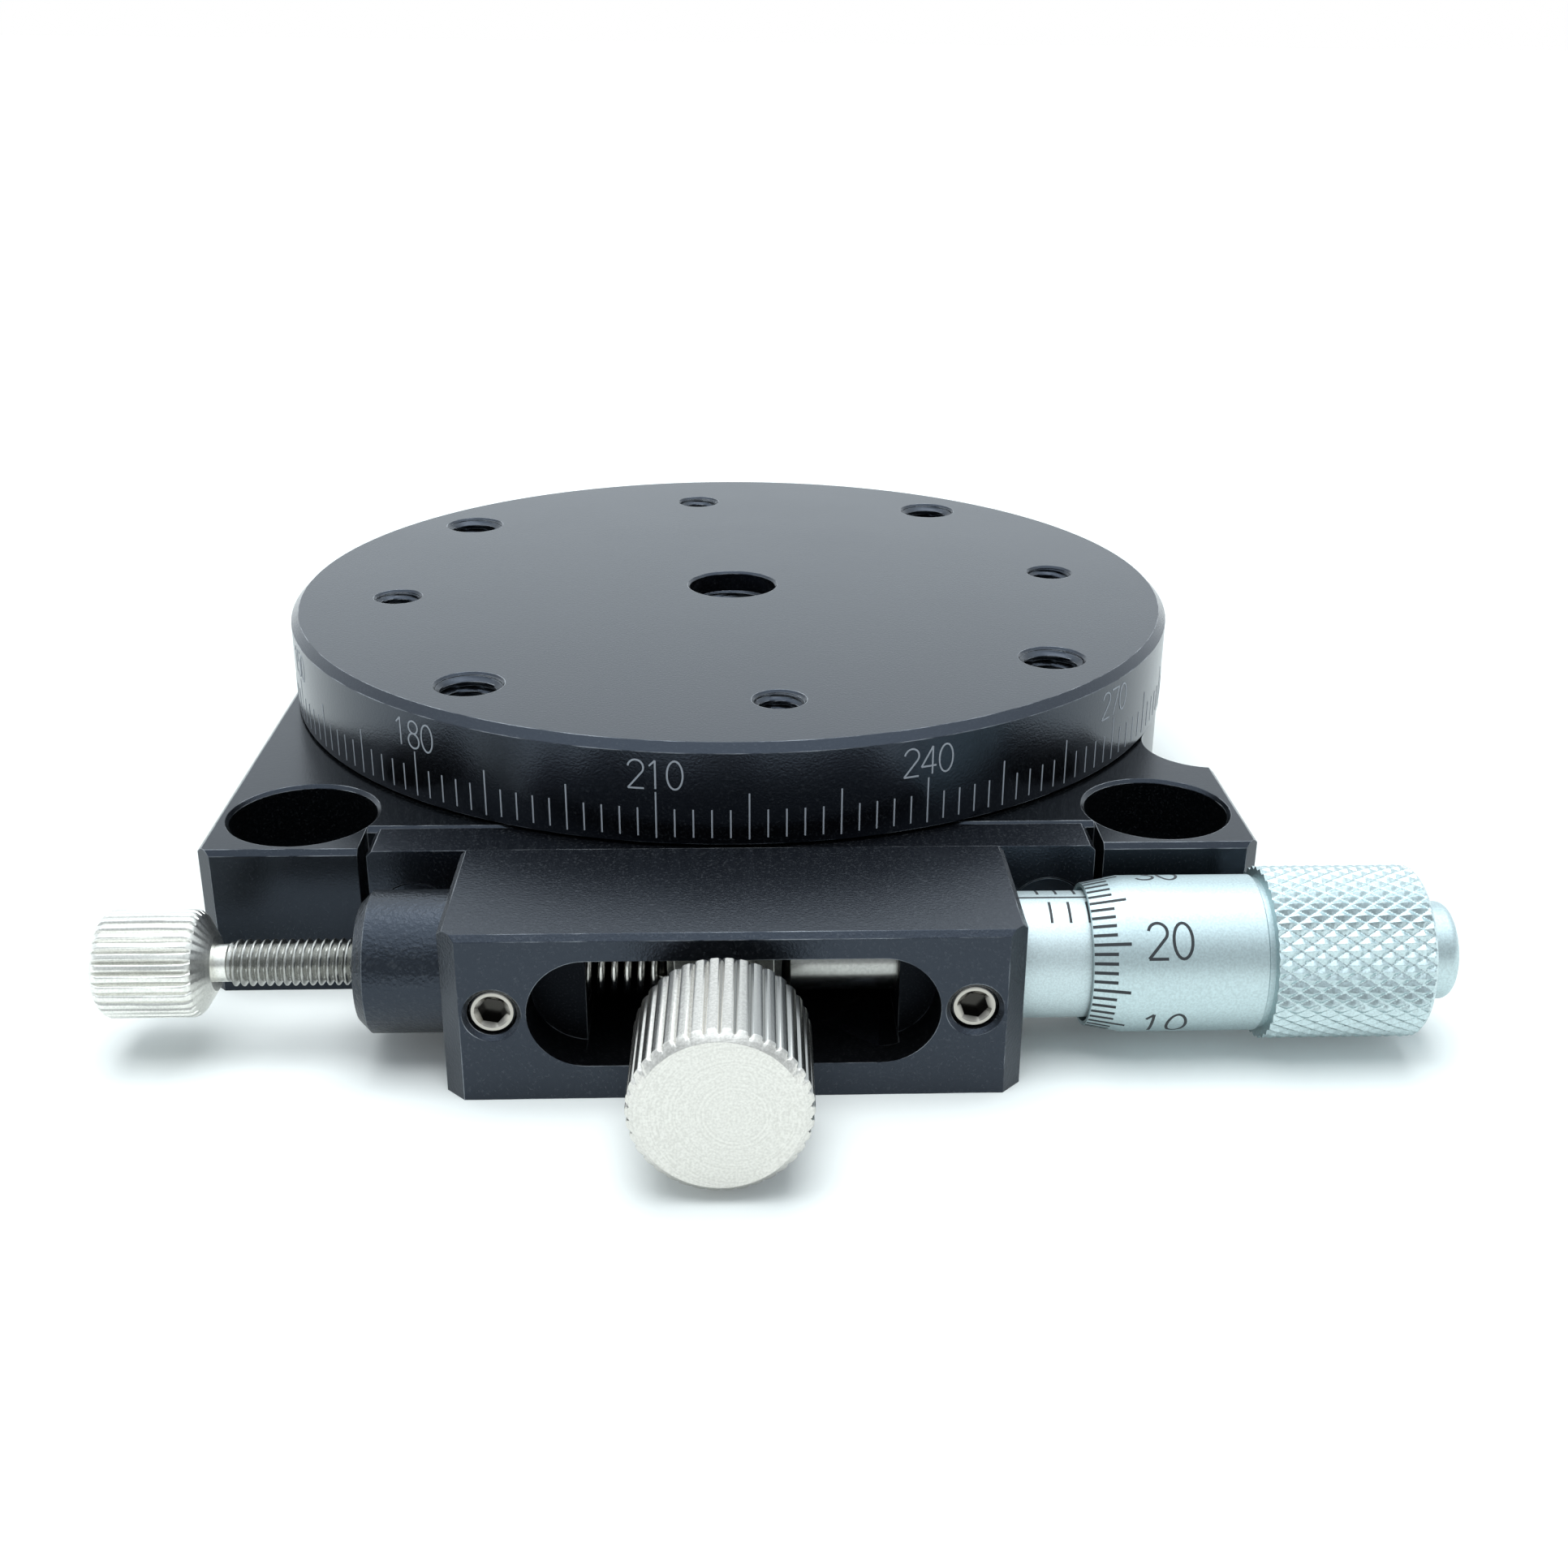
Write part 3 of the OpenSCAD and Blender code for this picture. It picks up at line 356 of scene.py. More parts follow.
def faced(name, colour, low_colour, roughness, centre, across, ring_mm, bump):
    """Turned metal with fine rings round an axis, as a facing tool leaves them.

    The distance from the axis drives a noise, so each ring has its own depth all the way
    round. across is 1 for the two directions across the axis and 0 for the one along it.
    The colour runs from low_colour in the marks to colour on their crests. Besides the
    material it gives its tree, shader, place and colour, so that more can be laid over it."""
    material, tree, shader, where = start_material(name, colour, Metallic=1.0, Roughness=roughness)
    shift = [-a * c * MM for a, c in zip(across, centre)]
    flat = add(tree, "ShaderNodeMapping", {"Vector": where, "Scale": across, "Location": shift})
    radius = add(tree, "ShaderNodeVectorMath", {0: flat.outputs[0]}, operation="LENGTH")
    rings = add(tree, "ShaderNodeTexNoise",
                {"W": radius.outputs["Value"], "Scale": 1 / (ring_mm * MM), "Detail": 2.0},
                noise_dimensions="1D")
    grain = add(tree, "ShaderNodeTexNoise", {"Vector": where, "Scale": 1 / (0.12 * MM), "Detail": 2.0})
    height = add(tree, "ShaderNodeMix",
                 {"Factor": 0.72, "A": rings.outputs["Fac"], "B": grain.outputs["Fac"]})
    round_edge = add(tree, "ShaderNodeBevel", {"Radius": METAL_EDGE * MM}, samples=4)
    marks = add(tree, "ShaderNodeBump",
                {"Strength": bump, "Distance": TOOL_MARK * MM, "Height": height.outputs[0],
                 "Normal": round_edge.outputs[0]})
    tree.links.new(marks.outputs[0], shader.inputs["Normal"])
    fine = add(tree, "ShaderNodeMapRange", {"Value": height.outputs[0], "From Min": 0.38, "From Max": 0.62})
    mottled = add(tree, "ShaderNodeMix",
                  {"Factor": fine.outputs[0], "A": linear(low_colour), "B": linear(colour)},
                  data_type="RGBA")
    tree.links.new(mottled.outputs["Result"], shader.inputs["Base Color"])
    return material, tree, shader, where, mottled.outputs["Result"]


faced_steel, tree, shader, where, face_colour = faced(
    "faced_stainless_knob", "#DAD7D1", "#C8C5BF", 0.26, (0, 0, ARM_Z), (1, 0, 1), 0.11, 1.0)

# Painted shade darkens the knob's grooves: below their crests, and only behind the front face.
CREST_R, VALLEY_R = 4.42, 4.22
GROOVE_SHADE_FROM, GROOVE_SHADE_FULL = -50.6, -50.4
off_axis = add(tree, "ShaderNodeMapping",
               {"Vector": where, "Scale": (1, 0, 1), "Location": (0, 0, -ARM_Z * MM)})
depth = add(tree, "ShaderNodeVectorMath", {0: off_axis.outputs[0]}, operation="LENGTH").outputs["Value"]
low = add(tree, "ShaderNodeMapRange",
          {"Value": depth, "From Min": CREST_R * MM, "From Max": VALLEY_R * MM})
lengthwise = add(tree, "ShaderNodeSeparateXYZ", {0: where}).outputs["Y"]
behind = add(tree, "ShaderNodeMapRange",
             {"Value": lengthwise, "From Min": GROOVE_SHADE_FROM * MM, "From Max": GROOVE_SHADE_FULL * MM, "To Max": 0.85})
groove_shade = add(tree, "ShaderNodeMath", {0: low.outputs[0], 1: behind.outputs[0]}, operation="MULTIPLY")
groove = add(tree, "ShaderNodeMix",
             {"Factor": groove_shade.outputs[0], "A": face_colour, "B": linear("#9A9B99")}, data_type="RGBA")
tree.links.new(groove.outputs["Result"], shader.inputs["Base Color"])
end_turned_steel = faced("turned_stainless_thumb_screw", "#ECEBE5", "#D9D8D2", 0.30,
                         (0, MIC_Y, MIC_Z), (0, 1, 1), 0.11, 0.4)[0]
dull_steel = metal("rolled_thread_steel", "#A8A8A4", 0.26, 0.15, 0.3)

# The screws' rims are bright, and their sockets are darker from a depth behind the rim: partly oil, partly
# painted shade in the deep socket.
PLATE, OIL_AND_SHADE = "#B0ABA3", "#3A3835"
OIL_AND_SHADE_FROM, OIL_AND_SHADE_FULL = -41.22, -41.05
socket_nickel, tree, shader, where = start_material(
    "nickel_plated_socket_screw", PLATE, Metallic=1.0, Roughness=0.22)
into = add(tree, "ShaderNodeSeparateXYZ", {0: where}).outputs["Y"]
dark = add(tree, "ShaderNodeMapRange",
           {"Value": into, "From Min": OIL_AND_SHADE_FROM * MM, "From Max": OIL_AND_SHADE_FULL * MM})
oil_and_shade = add(tree, "ShaderNodeMix",
           {"Factor": dark.outputs[0], "A": linear(PLATE), "B": linear(OIL_AND_SHADE)}, data_type="RGBA")
tree.links.new(oil_and_shade.outputs["Result"], shader.inputs["Base Color"])
print("faced:", faced_steel.name, end_turned_steel.name, socket_nickel.name)

# %% Small finishes
# The edge colour at full strength here: wear plus a painted highlight on the screws' rims.
black_oxide = anodised("black_oxide_steel", "#101114", 0.26, 0.2, 6, gloss=0.8, wear_and_highlight=1.0)
acetal = start_material("natural_acetal", "#E8E5DA", Roughness=0.42, IOR=1.48)[0]
laser_grey = start_material("laser_marked_oxide", "#A2A8B0", Roughness=0.7)[0]
ink = start_material("black_filled_engraving", "#22262A", Roughness=0.6)[0]
for node, material in {
    "base_plate": base_black, "micrometer_bracket": bracket_black, "clamp_ring": base_black,
    "spring_barrel": barrel_black, "table_plate": table_black,
    "bearing_post": bearing_steel, "bearing_inner_ring": bearing_steel,
    "bearing_outer_ring": bearing_steel, "bearing_balls": bearing_steel, "bearing_shields": nickel,
    "bearing_cage": turned_brass, "clamp_pad": turned_brass, "lock_screw_tip": turned_brass,
    "post_circlip": black_oxide, "hub_circlip": black_oxide, "bracket_screws": black_oxide,
    "lower_thrust_washer": acetal, "upper_thrust_washer": acetal,
    "post_screws": turned_steel, "clamp_screw": turned_steel, "clamp_knob": turned_steel,
    "travel_lock_screw": turned_steel, "contact_block": turned_steel, "micrometer_spindle": dull_steel,
    "bracket_set_screws": socket_nickel, "micrometer_sleeve": sleeve_chrome, "sleeve_nut": sleeve_chrome,
    "micrometer_thimble": satin_chrome, "thimble_cap": satin_chrome, "return_spring": spring_wire,
}.items():
    for holder in nodes[node].material_slots:
        holder.material = material
print("every CAD node has a finish")

# %% [markdown]
# ## Meshes from grids
#
# Most new pieces here are round bars with something regular on them: grooves, a thread, a
# knurl. Such a surface is one function of two numbers, how far along and how far round,
# so numpy can work out every point at once. One helper then joins each point to its
# neighbours. A grid that closes on itself makes a ring, and any other gets two end caps.

# %% Skin a grid of points
import bmesh

SAME_POINT = 0.0005


def solid(name, points, body, material, loop=False, crease=28):
    """Closed skins over grids of points [..., along, around, xyz] in millimetres.

    Each point is joined to the next one round and the next one along, so four points make
    a quad. Points that fall together are merged, and the faces are turned outwards. body is
    a name, and the piece is attached to that body; anything else, such as two names and two
    points, leaves the piece unattached. loop joins the grid's end to its start, in place of
    end caps, and edges that bend more than crease, in degrees, stay sharp."""
    grids = points.reshape(-1, *points.shape[-3:])
    index = np.arange(grids[..., 0].size).reshape(grids.shape[:3])
    here, there = (index, np.roll(index, -1, axis=1)) if loop else (index[:, :-1], index[:, 1:])
    quads = np.stack([here, np.roll(here, -1, axis=2), np.roll(there, -1, axis=2), there], axis=-1)
    caps = [] if loop else index[:, 0].tolist() + index[:, -1].tolist()
    mesh = bpy.data.meshes.new(name)
    mesh.from_pydata((grids.reshape(-1, 3) * MM).tolist(), [], quads.reshape(-1, 4).tolist() + caps)
    shell = bmesh.new()
    shell.from_mesh(mesh)
    bmesh.ops.remove_doubles(shell, verts=shell.verts, dist=SAME_POINT * MM)
    bmesh.ops.recalc_face_normals(shell, faces=shell.faces)
    shell.to_mesh(mesh)
    shell.free()
    mesh.polygons.foreach_set("use_smooth", np.ones(len(mesh.polygons), dtype=bool))
    mesh.set_sharp_from_angle(angle=np.radians(crease))
    piece = bpy.data.objects.new(name, mesh)
    scene.collection.objects.link(piece)
    piece.data.materials.append(material)
    if isinstance(body, str):
        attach(piece, body)
    else:
        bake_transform(piece)
    print(name, "rides on", body, "with", len(mesh.polygons), "faces")
    return piece


def about_x(x, r, angle):
    """Points at x and radius r about the micrometer's axis. The angle starts at the front and goes up."""
    return np.stack(np.broadcast_arrays(x, MIC_Y - r * np.cos(angle), MIC_Z + r * np.sin(angle)), axis=-1)


def saw(t):
    """A triangle wave: 0 at each whole number, 1 half way between."""
    return 1 - np.abs(2 * (t - np.floor(t)) - 1)


print("a saw's first half:", saw(np.linspace(0, 0.5, 3)))

# %% [markdown]
# ## Bracket and its set screws
#
# The bracket is one milled block, and its shape from CAD is right. Inside the slot the
# floor is painted shade: it stays black, so the same skin is used again with a darker,
# duller second finish there. Two socket set screws close the bores beside the slot. Their
# sockets are six sided with a turned countersink at the mouth: a profile whose radius
# follows a hexagon at some stations and a circle at the others.

# %% Bracket with painted shade in its slot
SLOT_BOX = ((-10.62, -41.55, 1.9), (10.62, -32.0, 8.1))
BRACKET_CREASE = 20


def second_finish(mesh, box, material):
    """Another finish on the faces whose middle lies between two corners in millimetres."""
    middle = np.empty(3 * len(mesh.polygons))
    mesh.polygons.foreach_get("center", middle)
    middle = middle.reshape(-1, 3) / MM
    within = np.all((middle > box[0]) & (middle < box[1]), axis=1)
    mesh.materials.append(material)
    mesh.polygons.foreach_set("material_index", within.astype(np.int32))
    print(material.name, "on", int(within.sum()), "faces of", len(within))


def recoated(name, node, body, box, outside, inside):
    """A node's skin as a piece, with a second finish on the faces whose middle lies in a box of mm.

    The copy's stored normals go, because they were made for loose triangles and would show
    as wedges of light. Its edges are made sharp by their angle instead."""
    mesh = nodes[node].data.copy()
    shell = bmesh.new()
    shell.from_mesh(mesh)
    bmesh.ops.remove_doubles(shell, verts=shell.verts, dist=SAME_POINT * MM)
    shell.to_mesh(mesh)
    shell.free()
    mesh.materials.clear()
    mesh.materials.append(outside)
    second_finish(mesh, box, inside)
    if "custom_normal" in mesh.attributes:
        mesh.attributes.remove(mesh.attributes["custom_normal"])
    mesh.set_sharp_from_angle(angle=np.radians(BRACKET_CREASE))
    piece = bpy.data.objects.new(name, mesh)
    scene.collection.objects.link(piece)
    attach(piece, body)
    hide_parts(node)
    return piece


# The faces inside the slot carry the painted shade.
recoated("milled_bracket", "micrometer_bracket", "base", SLOT_BOX,
         bracket_black, slot_painted_shade)

# %% Socket set screws
SET_SCREW_X, SET_SCREW_FACE = 12.35, -41.25
KEY = 1.3  # across the hexagon's flats
KEY_TURN = 0.2


def socket_screw(cx, around=96):
    """A profile carried round an axis along Y.

    Where it is the socket, its radius is a share of the hexagon's: half the distance across
    flats, over the cosine of the angle from the middle of the nearest flat."""
    y = np.array([0.75, 0.75, 0.16, 0.0, 0.0, 0.04, 0.15, 2.3, 2.3])[:, None] + SET_SCREW_FACE
    r = np.array([0.0, 1.0, 1.0, 0.92, 1.08, 1.15, 1.24, 1.24, 0.0])[:, None]
    six_sided = np.array([0, 1, 1, 0, 0, 0, 0, 0, 0])[:, None]
    angle = np.linspace(0, 2 * np.pi, around, endpoint=False)[None, :]
    hexagon = KEY / 2 / np.cos((angle + KEY_TURN) % (np.pi / 3) - np.pi / 6)
    r = np.where(six_sided, r * hexagon, r)
    return np.stack(np.broadcast_arrays(cx + r * np.cos(angle), y, ARM_Z + r * np.sin(angle)), axis=-1)


set_screws = solid("socket_set_screws",
                   np.array([socket_screw(-SET_SCREW_X), socket_screw(SET_SCREW_X)]),
                   "base", socket_nickel)
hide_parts("bracket_set_screws")

# %% [markdown]
# ## Engraved scales
#
# The dial is read to two degrees and the thimble to a fiftieth of a turn. On the real
# parts a laser or a cutter with a round tip draws each figure in single strokes, pale on
# the black dial and filled with black on the chrome. A font would give outlines that are
# too heavy, so each figure is a few straight lines and arcs, and each stroke becomes a
# thin closed strip that follows the round surface.

# %% Strokes of the figures
STEPS = np.linspace(0, 1, 25)
EVERY = 8  # a straight tick keeps only each eighth of these points


def line(x0, y0, x1, y1):
    """A straight stroke: points shared out evenly between its ends."""
    return np.stack([x0 + (x1 - x0) * STEPS, y0 + (y1 - y0) * STEPS], axis=-1)


def arc(x, y, rx, ry, start, end):
    """Part of an ellipse about (x, y), from start to end in degrees."""
    a = np.radians(start + (end - start) * STEPS)
    return np.stack([x + rx * np.cos(a), y + ry * np.sin(a)], axis=-1)


FIGURES = {
    "0": [arc(0.3, 0.5, 0.26, 0.5, 0, 360)],
    "1": [line(0.1, 0.8, 0.3, 1.0), line(0.3, 1.0, 0.3, 0.0)],
    "2": [arc(0.3, 0.73, 0.26, 0.27, 170, -32), line(0.52, 0.587, 0.03, 0.0), line(0.03, 0.0, 0.57, 0.0)],
    "3": [arc(0.28, 0.76, 0.24, 0.24, 150, -90), arc(0.28, 0.26, 0.27, 0.26, 90, -150)],
    "4": [line(0.43, 1.0, 0.02, 0.3), line(0.02, 0.3, 0.58, 0.3), line(0.43, 1.0, 0.43, 0.0)],
    "5": [line(0.53, 1.0, 0.12, 1.0), line(0.12, 1.0, 0.08, 0.56), arc(0.29, 0.32, 0.27, 0.32, 135, -150)],
    "6": [arc(0.3, 0.29, 0.26, 0.29, 0, 360), arc(0.62, 0.29, 0.58, 0.71, 180, 104)],
    "7": [line(0.03, 1.0, 0.57, 1.0), line(0.57, 1.0, 0.2, 0.0)],
    "8": [arc(0.3, 0.77, 0.22, 0.23, 0, 360), arc(0.3, 0.27, 0.26, 0.27, 0, 360)],
    "9": [arc(0.3, 0.71, 0.26, 0.29, 0, 360), arc(-0.02, 0.71, 0.58, 0.71, 0, -76)],
}


def figures(number, height, pitch):
    """Strokes of a whole number, centred on its width, with its foot at zero."""
    text = str(number)
    shift = [np.array([(i - (len(text) - 1) / 2) * pitch - 0.3 * height, 0.0]) for i in range(len(text))]
    return np.concatenate([np.array(FIGURES[c]) * height + shift[i] for i, c in enumerate(text)])


def strips(paths, width, place, proud=0.01, sunk=0.03):
    """Closed strips along paths [n, steps, 2] on a surface.

    Each path point is moved half the width to either side, along the path's normal, and
    placed a little above and a little below the surface: four corners at each step."""
    along = np.gradient(paths, axis=1)
    along = along / np.linalg.norm(along, axis=-1, keepdims=True)
    aside = np.stack([-along[..., 1], along[..., 0]], axis=-1) * width / 2
    left, right = paths + aside, paths - aside
    return np.stack([place(left, proud), place(right, proud),
                     place(right, -sunk), place(left, -sunk)], axis=2)


print("figures:", "".join(FIGURES), "with", sum(len(f) for f in FIGURES.values()), "strokes")

# %% Dial of the table
TABLE_R, TABLE_TOP = 30.0, 15.0
DIAL_ZERO = np.radians(51.7)
LONG_TICK, SHORT_TICK = (2.9, 5.7), (3.9, 5.6)  # top and foot below the table's top
FIGURE_FOOT = 2.7


def on_dial(path, out):
    """A path's first number is the way round the dial from its zero, its second the height."""
    a = DIAL_ZERO + path[..., 0] / TABLE_R
    r = TABLE_R + out
    return np.stack([r * np.cos(a), r * np.sin(a), path[..., 1]], axis=-1)


dial_ticks = []
for k in range(180):
    at = TABLE_R * np.radians(2 * k)
    top, foot = LONG_TICK if k % 5 == 0 else SHORT_TICK
    dial_ticks.append(line(at, TABLE_TOP - top, at, TABLE_TOP - foot))
dial_figures = [figures(n, 1.7, 1.1) + [TABLE_R * np.radians(n), TABLE_TOP - FIGURE_FOOT]
                for n in range(0, 360, 30)]
solid("dial_ticks", strips(np.array(dial_ticks)[:, ::EVERY], 0.09, on_dial),
      "table", laser_grey)
solid("dial_figures", strips(np.concatenate(dial_figures), 0.10, on_dial),
      "table", laser_grey)

# %% Scales of the micrometer
READING_EDGE, THIMBLE_R, SLEEVE_R = 18.70, 4.20, 3.40
BEVEL_DROP, BEVEL_LENGTH = 0.38, 2.0
DIVISION, TWENTY_AT = 7.2, 35.1  # degrees: one of fifty divisions, and where 20 stands
LONG_REACH, SHORT_REACH = 20.62, 19.95


def on_thimble(path, out):
    """Millimetres along the axis and round the thimble.

    The reading edge is bevelled, so the radius grows to the thimble's over the bevel."""
    r = THIMBLE_R - BEVEL_DROP * np.clip(1 - (path[..., 0] - READING_EDGE) / BEVEL_LENGTH, 0, 1) + out
    return about_x(path[..., 0], r, path[..., 1] / THIMBLE_R)


def on_sleeve(path, out):
    """Millimetres along the axis and round the sleeve."""
    return about_x(path[..., 0], SLEEVE_R + out, path[..., 1] / SLEEVE_R)


thimble_ticks, thimble_figures = [], []
for n in range(50):
    round_at = THIMBLE_R * np.radians(TWENTY_AT + (n - 20) * DIVISION)
    reach = LONG_REACH if n % 5 == 0 else SHORT_REACH
    thimble_ticks.append(line(READING_EDGE + 0.03, round_at, reach, round_at))
    if n % 10 == 0:
        middle = 22.68 if n else 22.1
        thimble_figures.append(figures(n, 1.9, 1.31) + [middle, round_at - 0.8])
solid("thimble_ticks", strips(np.array(thimble_ticks)[:, ::EVERY], 0.18, on_thimble),
      "thimble", ink)
solid("thimble_figures", strips(np.concatenate(thimble_figures), 0.16, on_thimble),
      "thimble", ink)


def sleeve_mark(x0, x1, from_degree, to_degree):
    """A stroke on the sleeve between two places along it and two angles round it."""
    return line(x0, SLEEVE_R * np.radians(from_degree), x1, SLEEVE_R * np.radians(to_degree))


# Millimetre marks stand on both sides of the line, the two rows about half a millimetre apart.
FIRST_ABOVE, FIRST_BELOW = 16.24, 16.70
sleeve_marks = [sleeve_mark(15.02, 21.0, 90, 90)]
for k in range(5):
    sleeve_marks.append(sleeve_mark(FIRST_ABOVE + k, FIRST_ABOVE + k, 97, 112))
    sleeve_marks.append(sleeve_mark(FIRST_BELOW + k, FIRST_BELOW + k, 82, 57))
solid("sleeve_marks", strips(np.array(sleeve_marks), 0.14, on_sleeve), "base", ink)

# %% [markdown]
# ## Thimble and its knurl
#
# The thimble is turned, and then two rollers press spiral grooves that cross, which
# leaves rows of small pyramids for the fingers. A picture of a knurl on a smooth bar fails
# at the outline and in the highlights. So it is real here: the height at a point is the
# smaller of two triangle waves, one for each set of grooves. The diamonds are 1.18 mm long
# and 38 go round, about 0.77 mm each.

# %% Thimble with a diamond knurl
KNURL_START, KNURL_END, KNURL_R = 28.25, 36.65, 4.65
KNURL_VALLEY, DIAMOND, DIAMONDS_ROUND = 4.47, 1.18, 38
KNURL_STATIONS = 97


def thimble_surface(around=380):
    """A closed profile carried round the axis.

    The outline is given as (x, radius) corners. Over the knurl the radius is the valley's
    plus the height of the lower of two crossing saw waves, held under the bevel at each end."""
    knurl_x = np.linspace(KNURL_START, KNURL_END, KNURL_STATIONS)
    before = [(20.10, 3.45), (20.00, 3.62), (18.70, 3.62), (18.70, 3.80), (18.73, 3.82),
              (20.70, 4.20), (24.5, 4.20), (27.85, 4.20), (27.92, 4.04), (28.22, 4.04)]
    after = [(36.65, 1.90), (35.85, 1.90), (35.85, 1.25), (33.05, 1.25), (33.05, 3.45)]
    x = np.concatenate([[p[0] for p in before], knurl_x, [p[0] for p in after]])[:, None]
    valley = np.full(KNURL_STATIONS, KNURL_VALLEY)
    r = np.concatenate([[p[1] for p in before], valley, [p[1] for p in after]])[:, None]
    angle = np.linspace(0, 2 * np.pi, around, endpoint=False)[None, :]
    along, about = (x - KNURL_START) / DIAMOND, angle * DIAMONDS_ROUND / (2 * np.pi)
    height = np.minimum(saw(along + about), saw(along - about)) * (KNURL_R - KNURL_VALLEY) * 1.15
    end_bevel = KNURL_R - np.clip(0.22 - (KNURL_END - x), 0, 1)
    knurled = np.minimum(np.minimum(KNURL_VALLEY + height, KNURL_R), end_bevel)
    on_knurl = np.zeros((len(x), 1), dtype=bool)
    on_knurl[len(before):len(before) + KNURL_STATIONS] = True
    return about_x(x, np.where(on_knurl, knurled, r), angle)


thimble = solid("knurled_thimble", thimble_surface(), "thimble", satin_chrome,
                loop=True, crease=20)
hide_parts("micrometer_thimble")
second_finish(thimble.data, ((KNURL_START + 0.01, -50, -50), (KNURL_END - 0.01, 50, 50)), knurl_chrome)

# %% [markdown]
# ## Return spring
#
# A coiled spring keeps the arm against the spindle. It stands still in its barrel and
# moves with the arm at its other end. CAD has it as a plain coil. Here the wire is round
# and its end coils lie flat and close.

# %% Return spring
def coil(start, end, turns, mean_r, wire_r, sides=14, steps=26):
    """A circle carried along a helix.

    The helix advances slowly over its first and last turn, so those coils touch, and
    evenly between them. The circle lies across the wire, in the radial and axial directions."""
    t = np.linspace(0, 1, turns * steps + 1)
    closed = wire_r * 2.1
    room = end - start - 2 * wire_r
    lead = np.interp(t * turns, [0, 1, turns - 1, turns],
                     [0, closed, end - start - closed - 2 * wire_r, room])
    a = (2 * np.pi * turns * t)[:, None]
    b = np.linspace(0, 2 * np.pi, sides, endpoint=False)[None, :]
    return about_x(start + wire_r + lead[:, None] + wire_r * np.sin(b), mean_r + wire_r * np.cos(b), a)


SPRING_FROM, SPRING_TO = -17.4, -3.6
STILL_TO, MOVING_FROM = -13.0, -3.7  # two stations along the spring, passed with its bodies
ends = [(x * MM, MIC_Y * MM, MIC_Z * MM) for x in (STILL_TO, MOVING_FROM)]
spring = solid("coiled_return_spring", coil(SPRING_FROM, SPRING_TO, 20, 1.8, 0.2),
               ("base", "tangent_arm", *ends), spring_wire)
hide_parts("return_spring")

# %% [markdown]
# ## Travel lock screw
#
# This small thumb screw can be run in until its tip limits the arm. Its head has straight
# grooves, cut one by one or pressed by a roller, and its M2.5 thread shows. The head and
# shank are two skins, because the grooves need many points round and the thread needs
# many along. A thread is a triangle wave again, of the length along less the turn made.

# %% Travel lock screw
def grooved_bar(x, r, around, grooves, depth, share, from_x, to_x, place=about_x):
    """A profile carried round, with straight grooves between two stations.

    A groove is a V over its share of the pitch. Where the profile is already below the
    groove, as on a chamfer, the profile holds."""
    angle = np.linspace(0, 2 * np.pi, around, endpoint=False)[None, :]
    x, r = np.array(x)[:, None], np.array(r)[:, None]
    across = np.clip((saw(angle * grooves / (2 * np.pi)) - (1 - share)) / share, 0, 1)
    inside = (x >= from_x) & (x <= to_x)
    grooved = np.minimum(r, r.max() - depth * across)
    return place(x, np.where(inside, grooved, r), angle)


def threaded_bar(x0, x1, major, depth, pitch, around=40, per_pitch=8):
    """A bar whose radius falls from the crest to the root and back once each pitch.

    Both ends are tapered."""
    x = np.linspace(x0, x1, int((x1 - x0) / pitch * per_pitch))[:, None]
    angle = np.linspace(0, 2 * np.pi, around, endpoint=False)[None, :]
    wave = np.clip(1.25 * saw(x / pitch - angle / (2 * np.pi)), 0, 1)
    fade = np.clip(np.minimum(x - x0, x1 - x) / 0.35, 0, 1)
    return about_x(x, major - depth + depth * wave * fade, angle)


head_x = [-33.3, -33.3, -33.12, -32.95, -32.8, -30.0, -28.5, -28.3, -28.1, -27.4, -27.4, -26.75]
head_r = [0.0, 2.42, 2.66, 2.78, 2.85, 2.85, 2.85, 2.78, 2.60, 1.50, 1.0, 1.0]
head = solid("lock_screw_head", grooved_bar(head_x, head_r, 300, 30, 0.26, 0.5, -33.2, -28.05),
             "lock_screw", end_turned_steel)
thread = solid("lock_screw_thread", threaded_bar(-26.75, -9.90, 1.25, 0.26, 0.45),
               "lock_screw", dull_steel)
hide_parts("travel_lock_screw")
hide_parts("travel_lock_screw")

# %% [markdown]
# ## Cap and clamp knob
#
# The cap closes the thimble and its edge is well rounded, because a thumb rests on it. The
# knob clamps the table to the arm. Its grooves are cut before the front edge is chamfered,
# so each rib ends there in a small arch. The front was faced on a lathe: the tool leaves
# fine rings that spread the light into a soft double fan.

# %% Cap
def rounded(x, r, radius, points=9):
    """An outer corner of a profile as a quarter circle: the last points before an end face at x."""
    a = np.linspace(0, np.pi / 2, points)
    return [(x - radius + radius * np.sin(t), r - radius + radius * np.cos(t)) for t in a]


CAP_END, CAP_R = 38.64, 2.65
cap_outline = np.array([(35.90, 0.0), (35.90, 1.85), (36.67, 1.85), (36.67, CAP_R),
                        *rounded(CAP_END, CAP_R, 0.5), (CAP_END, 0.0)])
full_turn = np.linspace(0, 2 * np.pi, 96, endpoint=False)[None, :]
cap = solid("rounded_cap", about_x(cap_outline[:, :1], cap_outline[:, 1:], full_turn),
            "thimble", satin_chrome)
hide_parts("thimble_cap")

# %% Clamp knob
ARM_TURN = np.radians(-0.79)


def about_arm(d, r, angle):
    """Points at distance d out from the rotation axis and radius r about the arm's own axis."""
    x, y = r * np.cos(angle), -d
    turned_x = x * np.cos(ARM_TURN) - y * np.sin(ARM_TURN)
    turned_y = x * np.sin(ARM_TURN) + y * np.cos(ARM_TURN)
    return np.stack(np.broadcast_arrays(turned_x, turned_y, ARM_Z + r * np.sin(angle)), axis=-1)


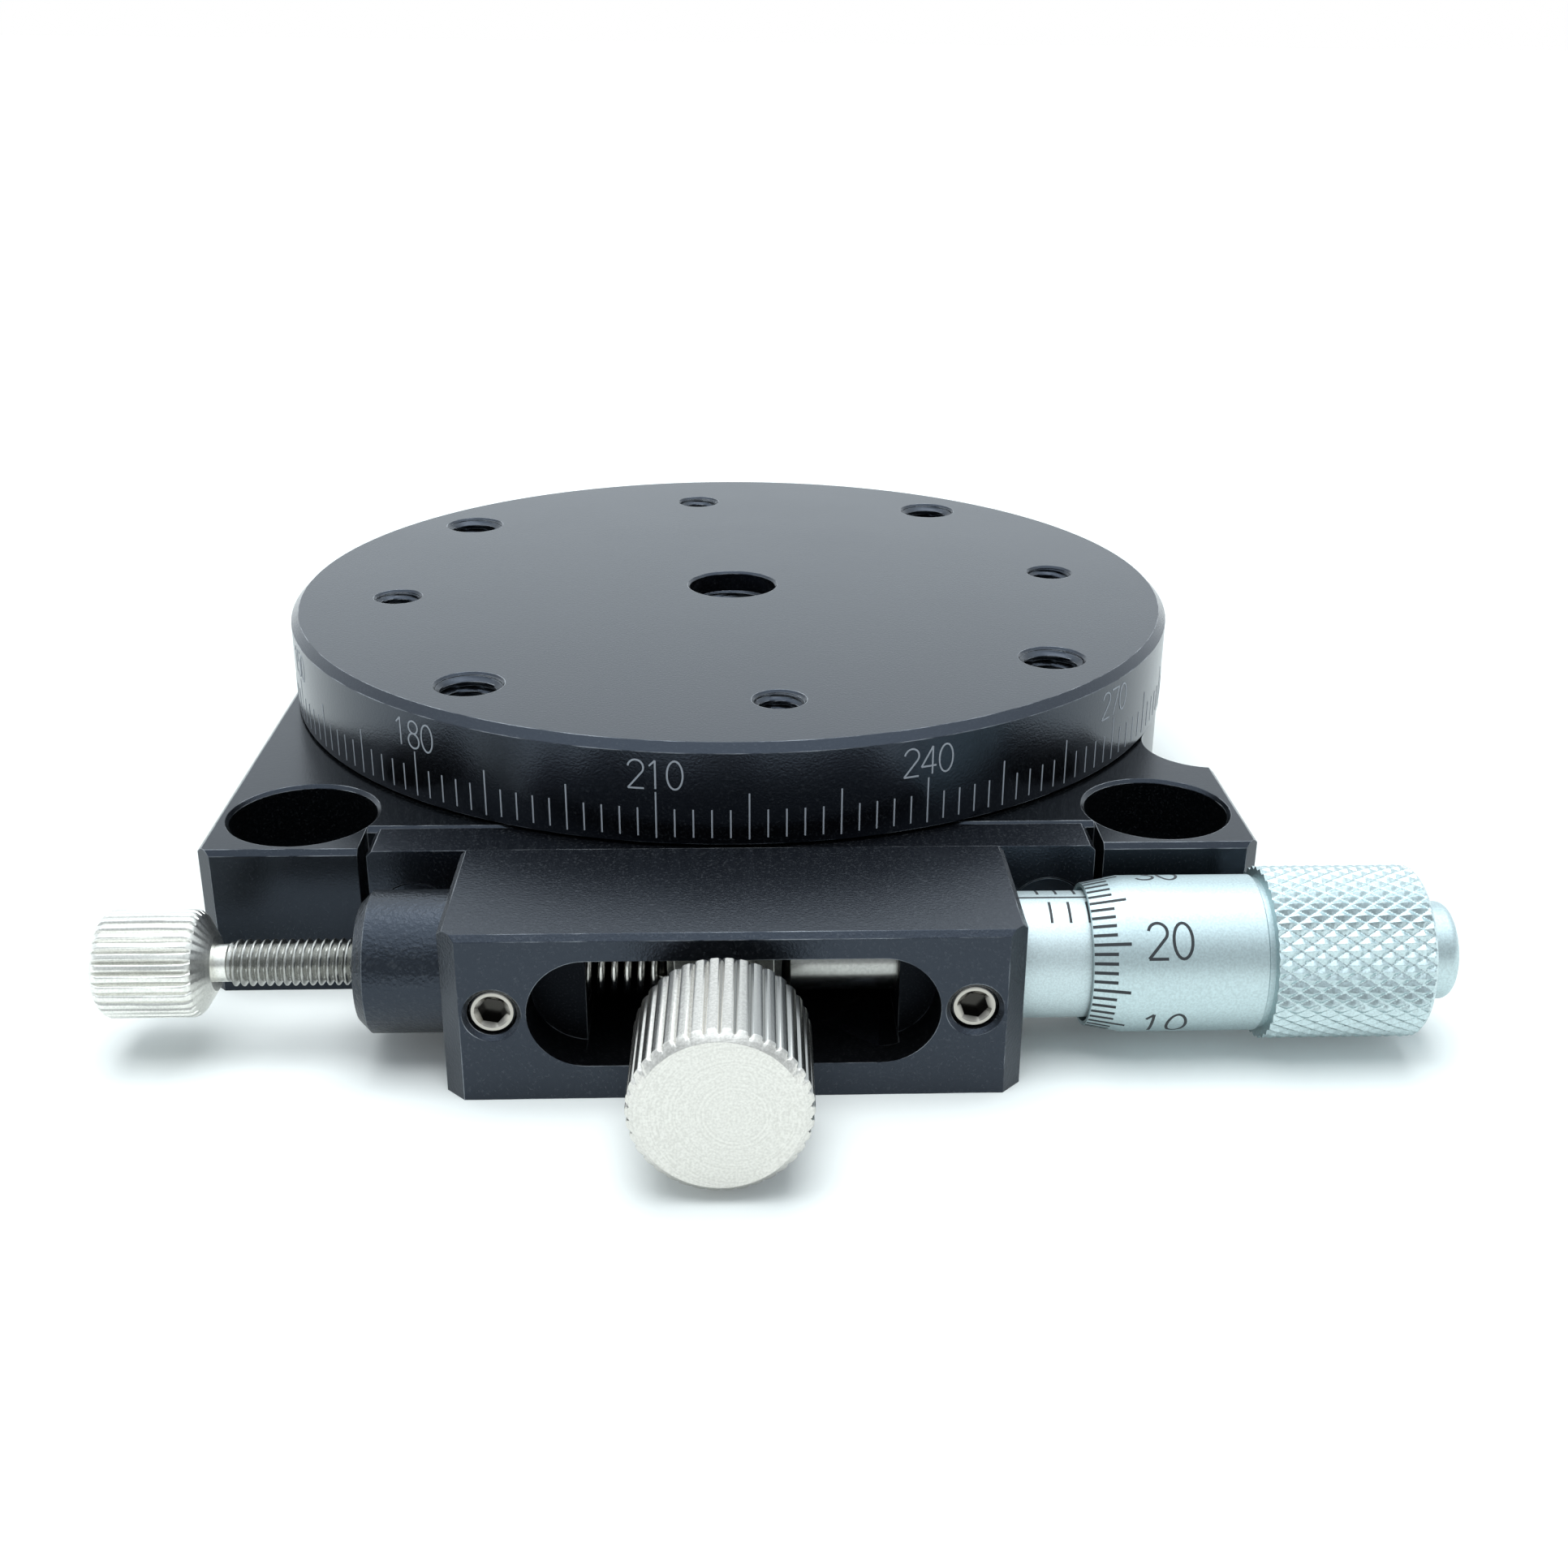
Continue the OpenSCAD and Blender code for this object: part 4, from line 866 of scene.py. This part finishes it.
knob_d = [47.8, 47.8, 43.42, 43.42, 43.55, 43.70, 43.85, 50.43, 50.60, 50.75, 50.88, 50.88]
knob_r = [0.0, 1.48, 1.48, 4.00, 4.16, 4.32, 4.45, 4.45, 4.30, 4.14, 3.98, 0.0]
knob = solid("fluted_clamp_knob", grooved_bar(knob_d, knob_r, 380, 38, 0.22, 0.46, 43.5, 50.85, about_arm),
             "clamp_screw", faced_steel)
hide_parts("clamp_knob")

# %% [markdown]
# ## Threads in the table's holes
#
# The table has tapped holes, and a thread shows as bright arcs just under each mouth. A
# tap cuts it from the bore, so the helper makes the ring of metal between the bore and a
# wall whose radius rises and falls with the turn, one ring for each hole.

# %% Tapped threads
def tapped(cx, cy, z0, z1, major, depth, pitch, around=48, per_pitch=8):
    """A closed ring: its inner wall is the thread, its outer wall lies just inside the plate's metal."""
    z = np.linspace(z0, z1, int((z1 - z0) / pitch * per_pitch))
    angle = np.linspace(0, 2 * np.pi, around, endpoint=False)[None, :]
    wave = np.clip(1.3 * saw(z[:, None] / pitch - angle / (2 * np.pi)), 0, 1)
    fade = np.clip((z1 - z[:, None]) / 0.25, 0, 1)
    inner = major - depth * wave * fade
    outer = np.full((2, around), major + 0.05)
    r = np.concatenate([inner, outer])
    z = np.concatenate([z, [z1, z0]])[:, None]
    return np.stack(np.broadcast_arrays(cx + r * np.cos(angle), cy + r * np.sin(angle), z), axis=-1)


HOLES_TURN = np.radians(51.8)
LARGE_AT, SMALL_AT = 25.456, 23.0  # distances from the table's axis
THREAD_FOOT, THREAD_TOP = 9.02, 14.8
large, small = [], []
for k in range(4):
    a, b = HOLES_TURN + k * np.pi / 2, HOLES_TURN + (k + 0.5) * np.pi / 2
    large.append(tapped(LARGE_AT * np.cos(a), LARGE_AT * np.sin(a), THREAD_FOOT, THREAD_TOP,
                        2.0, 0.36, 0.7))
    small.append(tapped(SMALL_AT * np.cos(b), SMALL_AT * np.sin(b), THREAD_FOOT, THREAD_TOP,
                        1.5, 0.27, 0.5))
solid("large_threads", np.array(large), "table", table_black, loop=True)
solid("small_threads", np.array(small), "table", table_black, loop=True)
solid("centre_thread", tapped(0, 0, 9.75, 13.6, 3.0, 0.5, 1.0, around=64),
      "table", table_black, loop=True)

# %% Bounds of the shown objects
low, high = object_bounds()
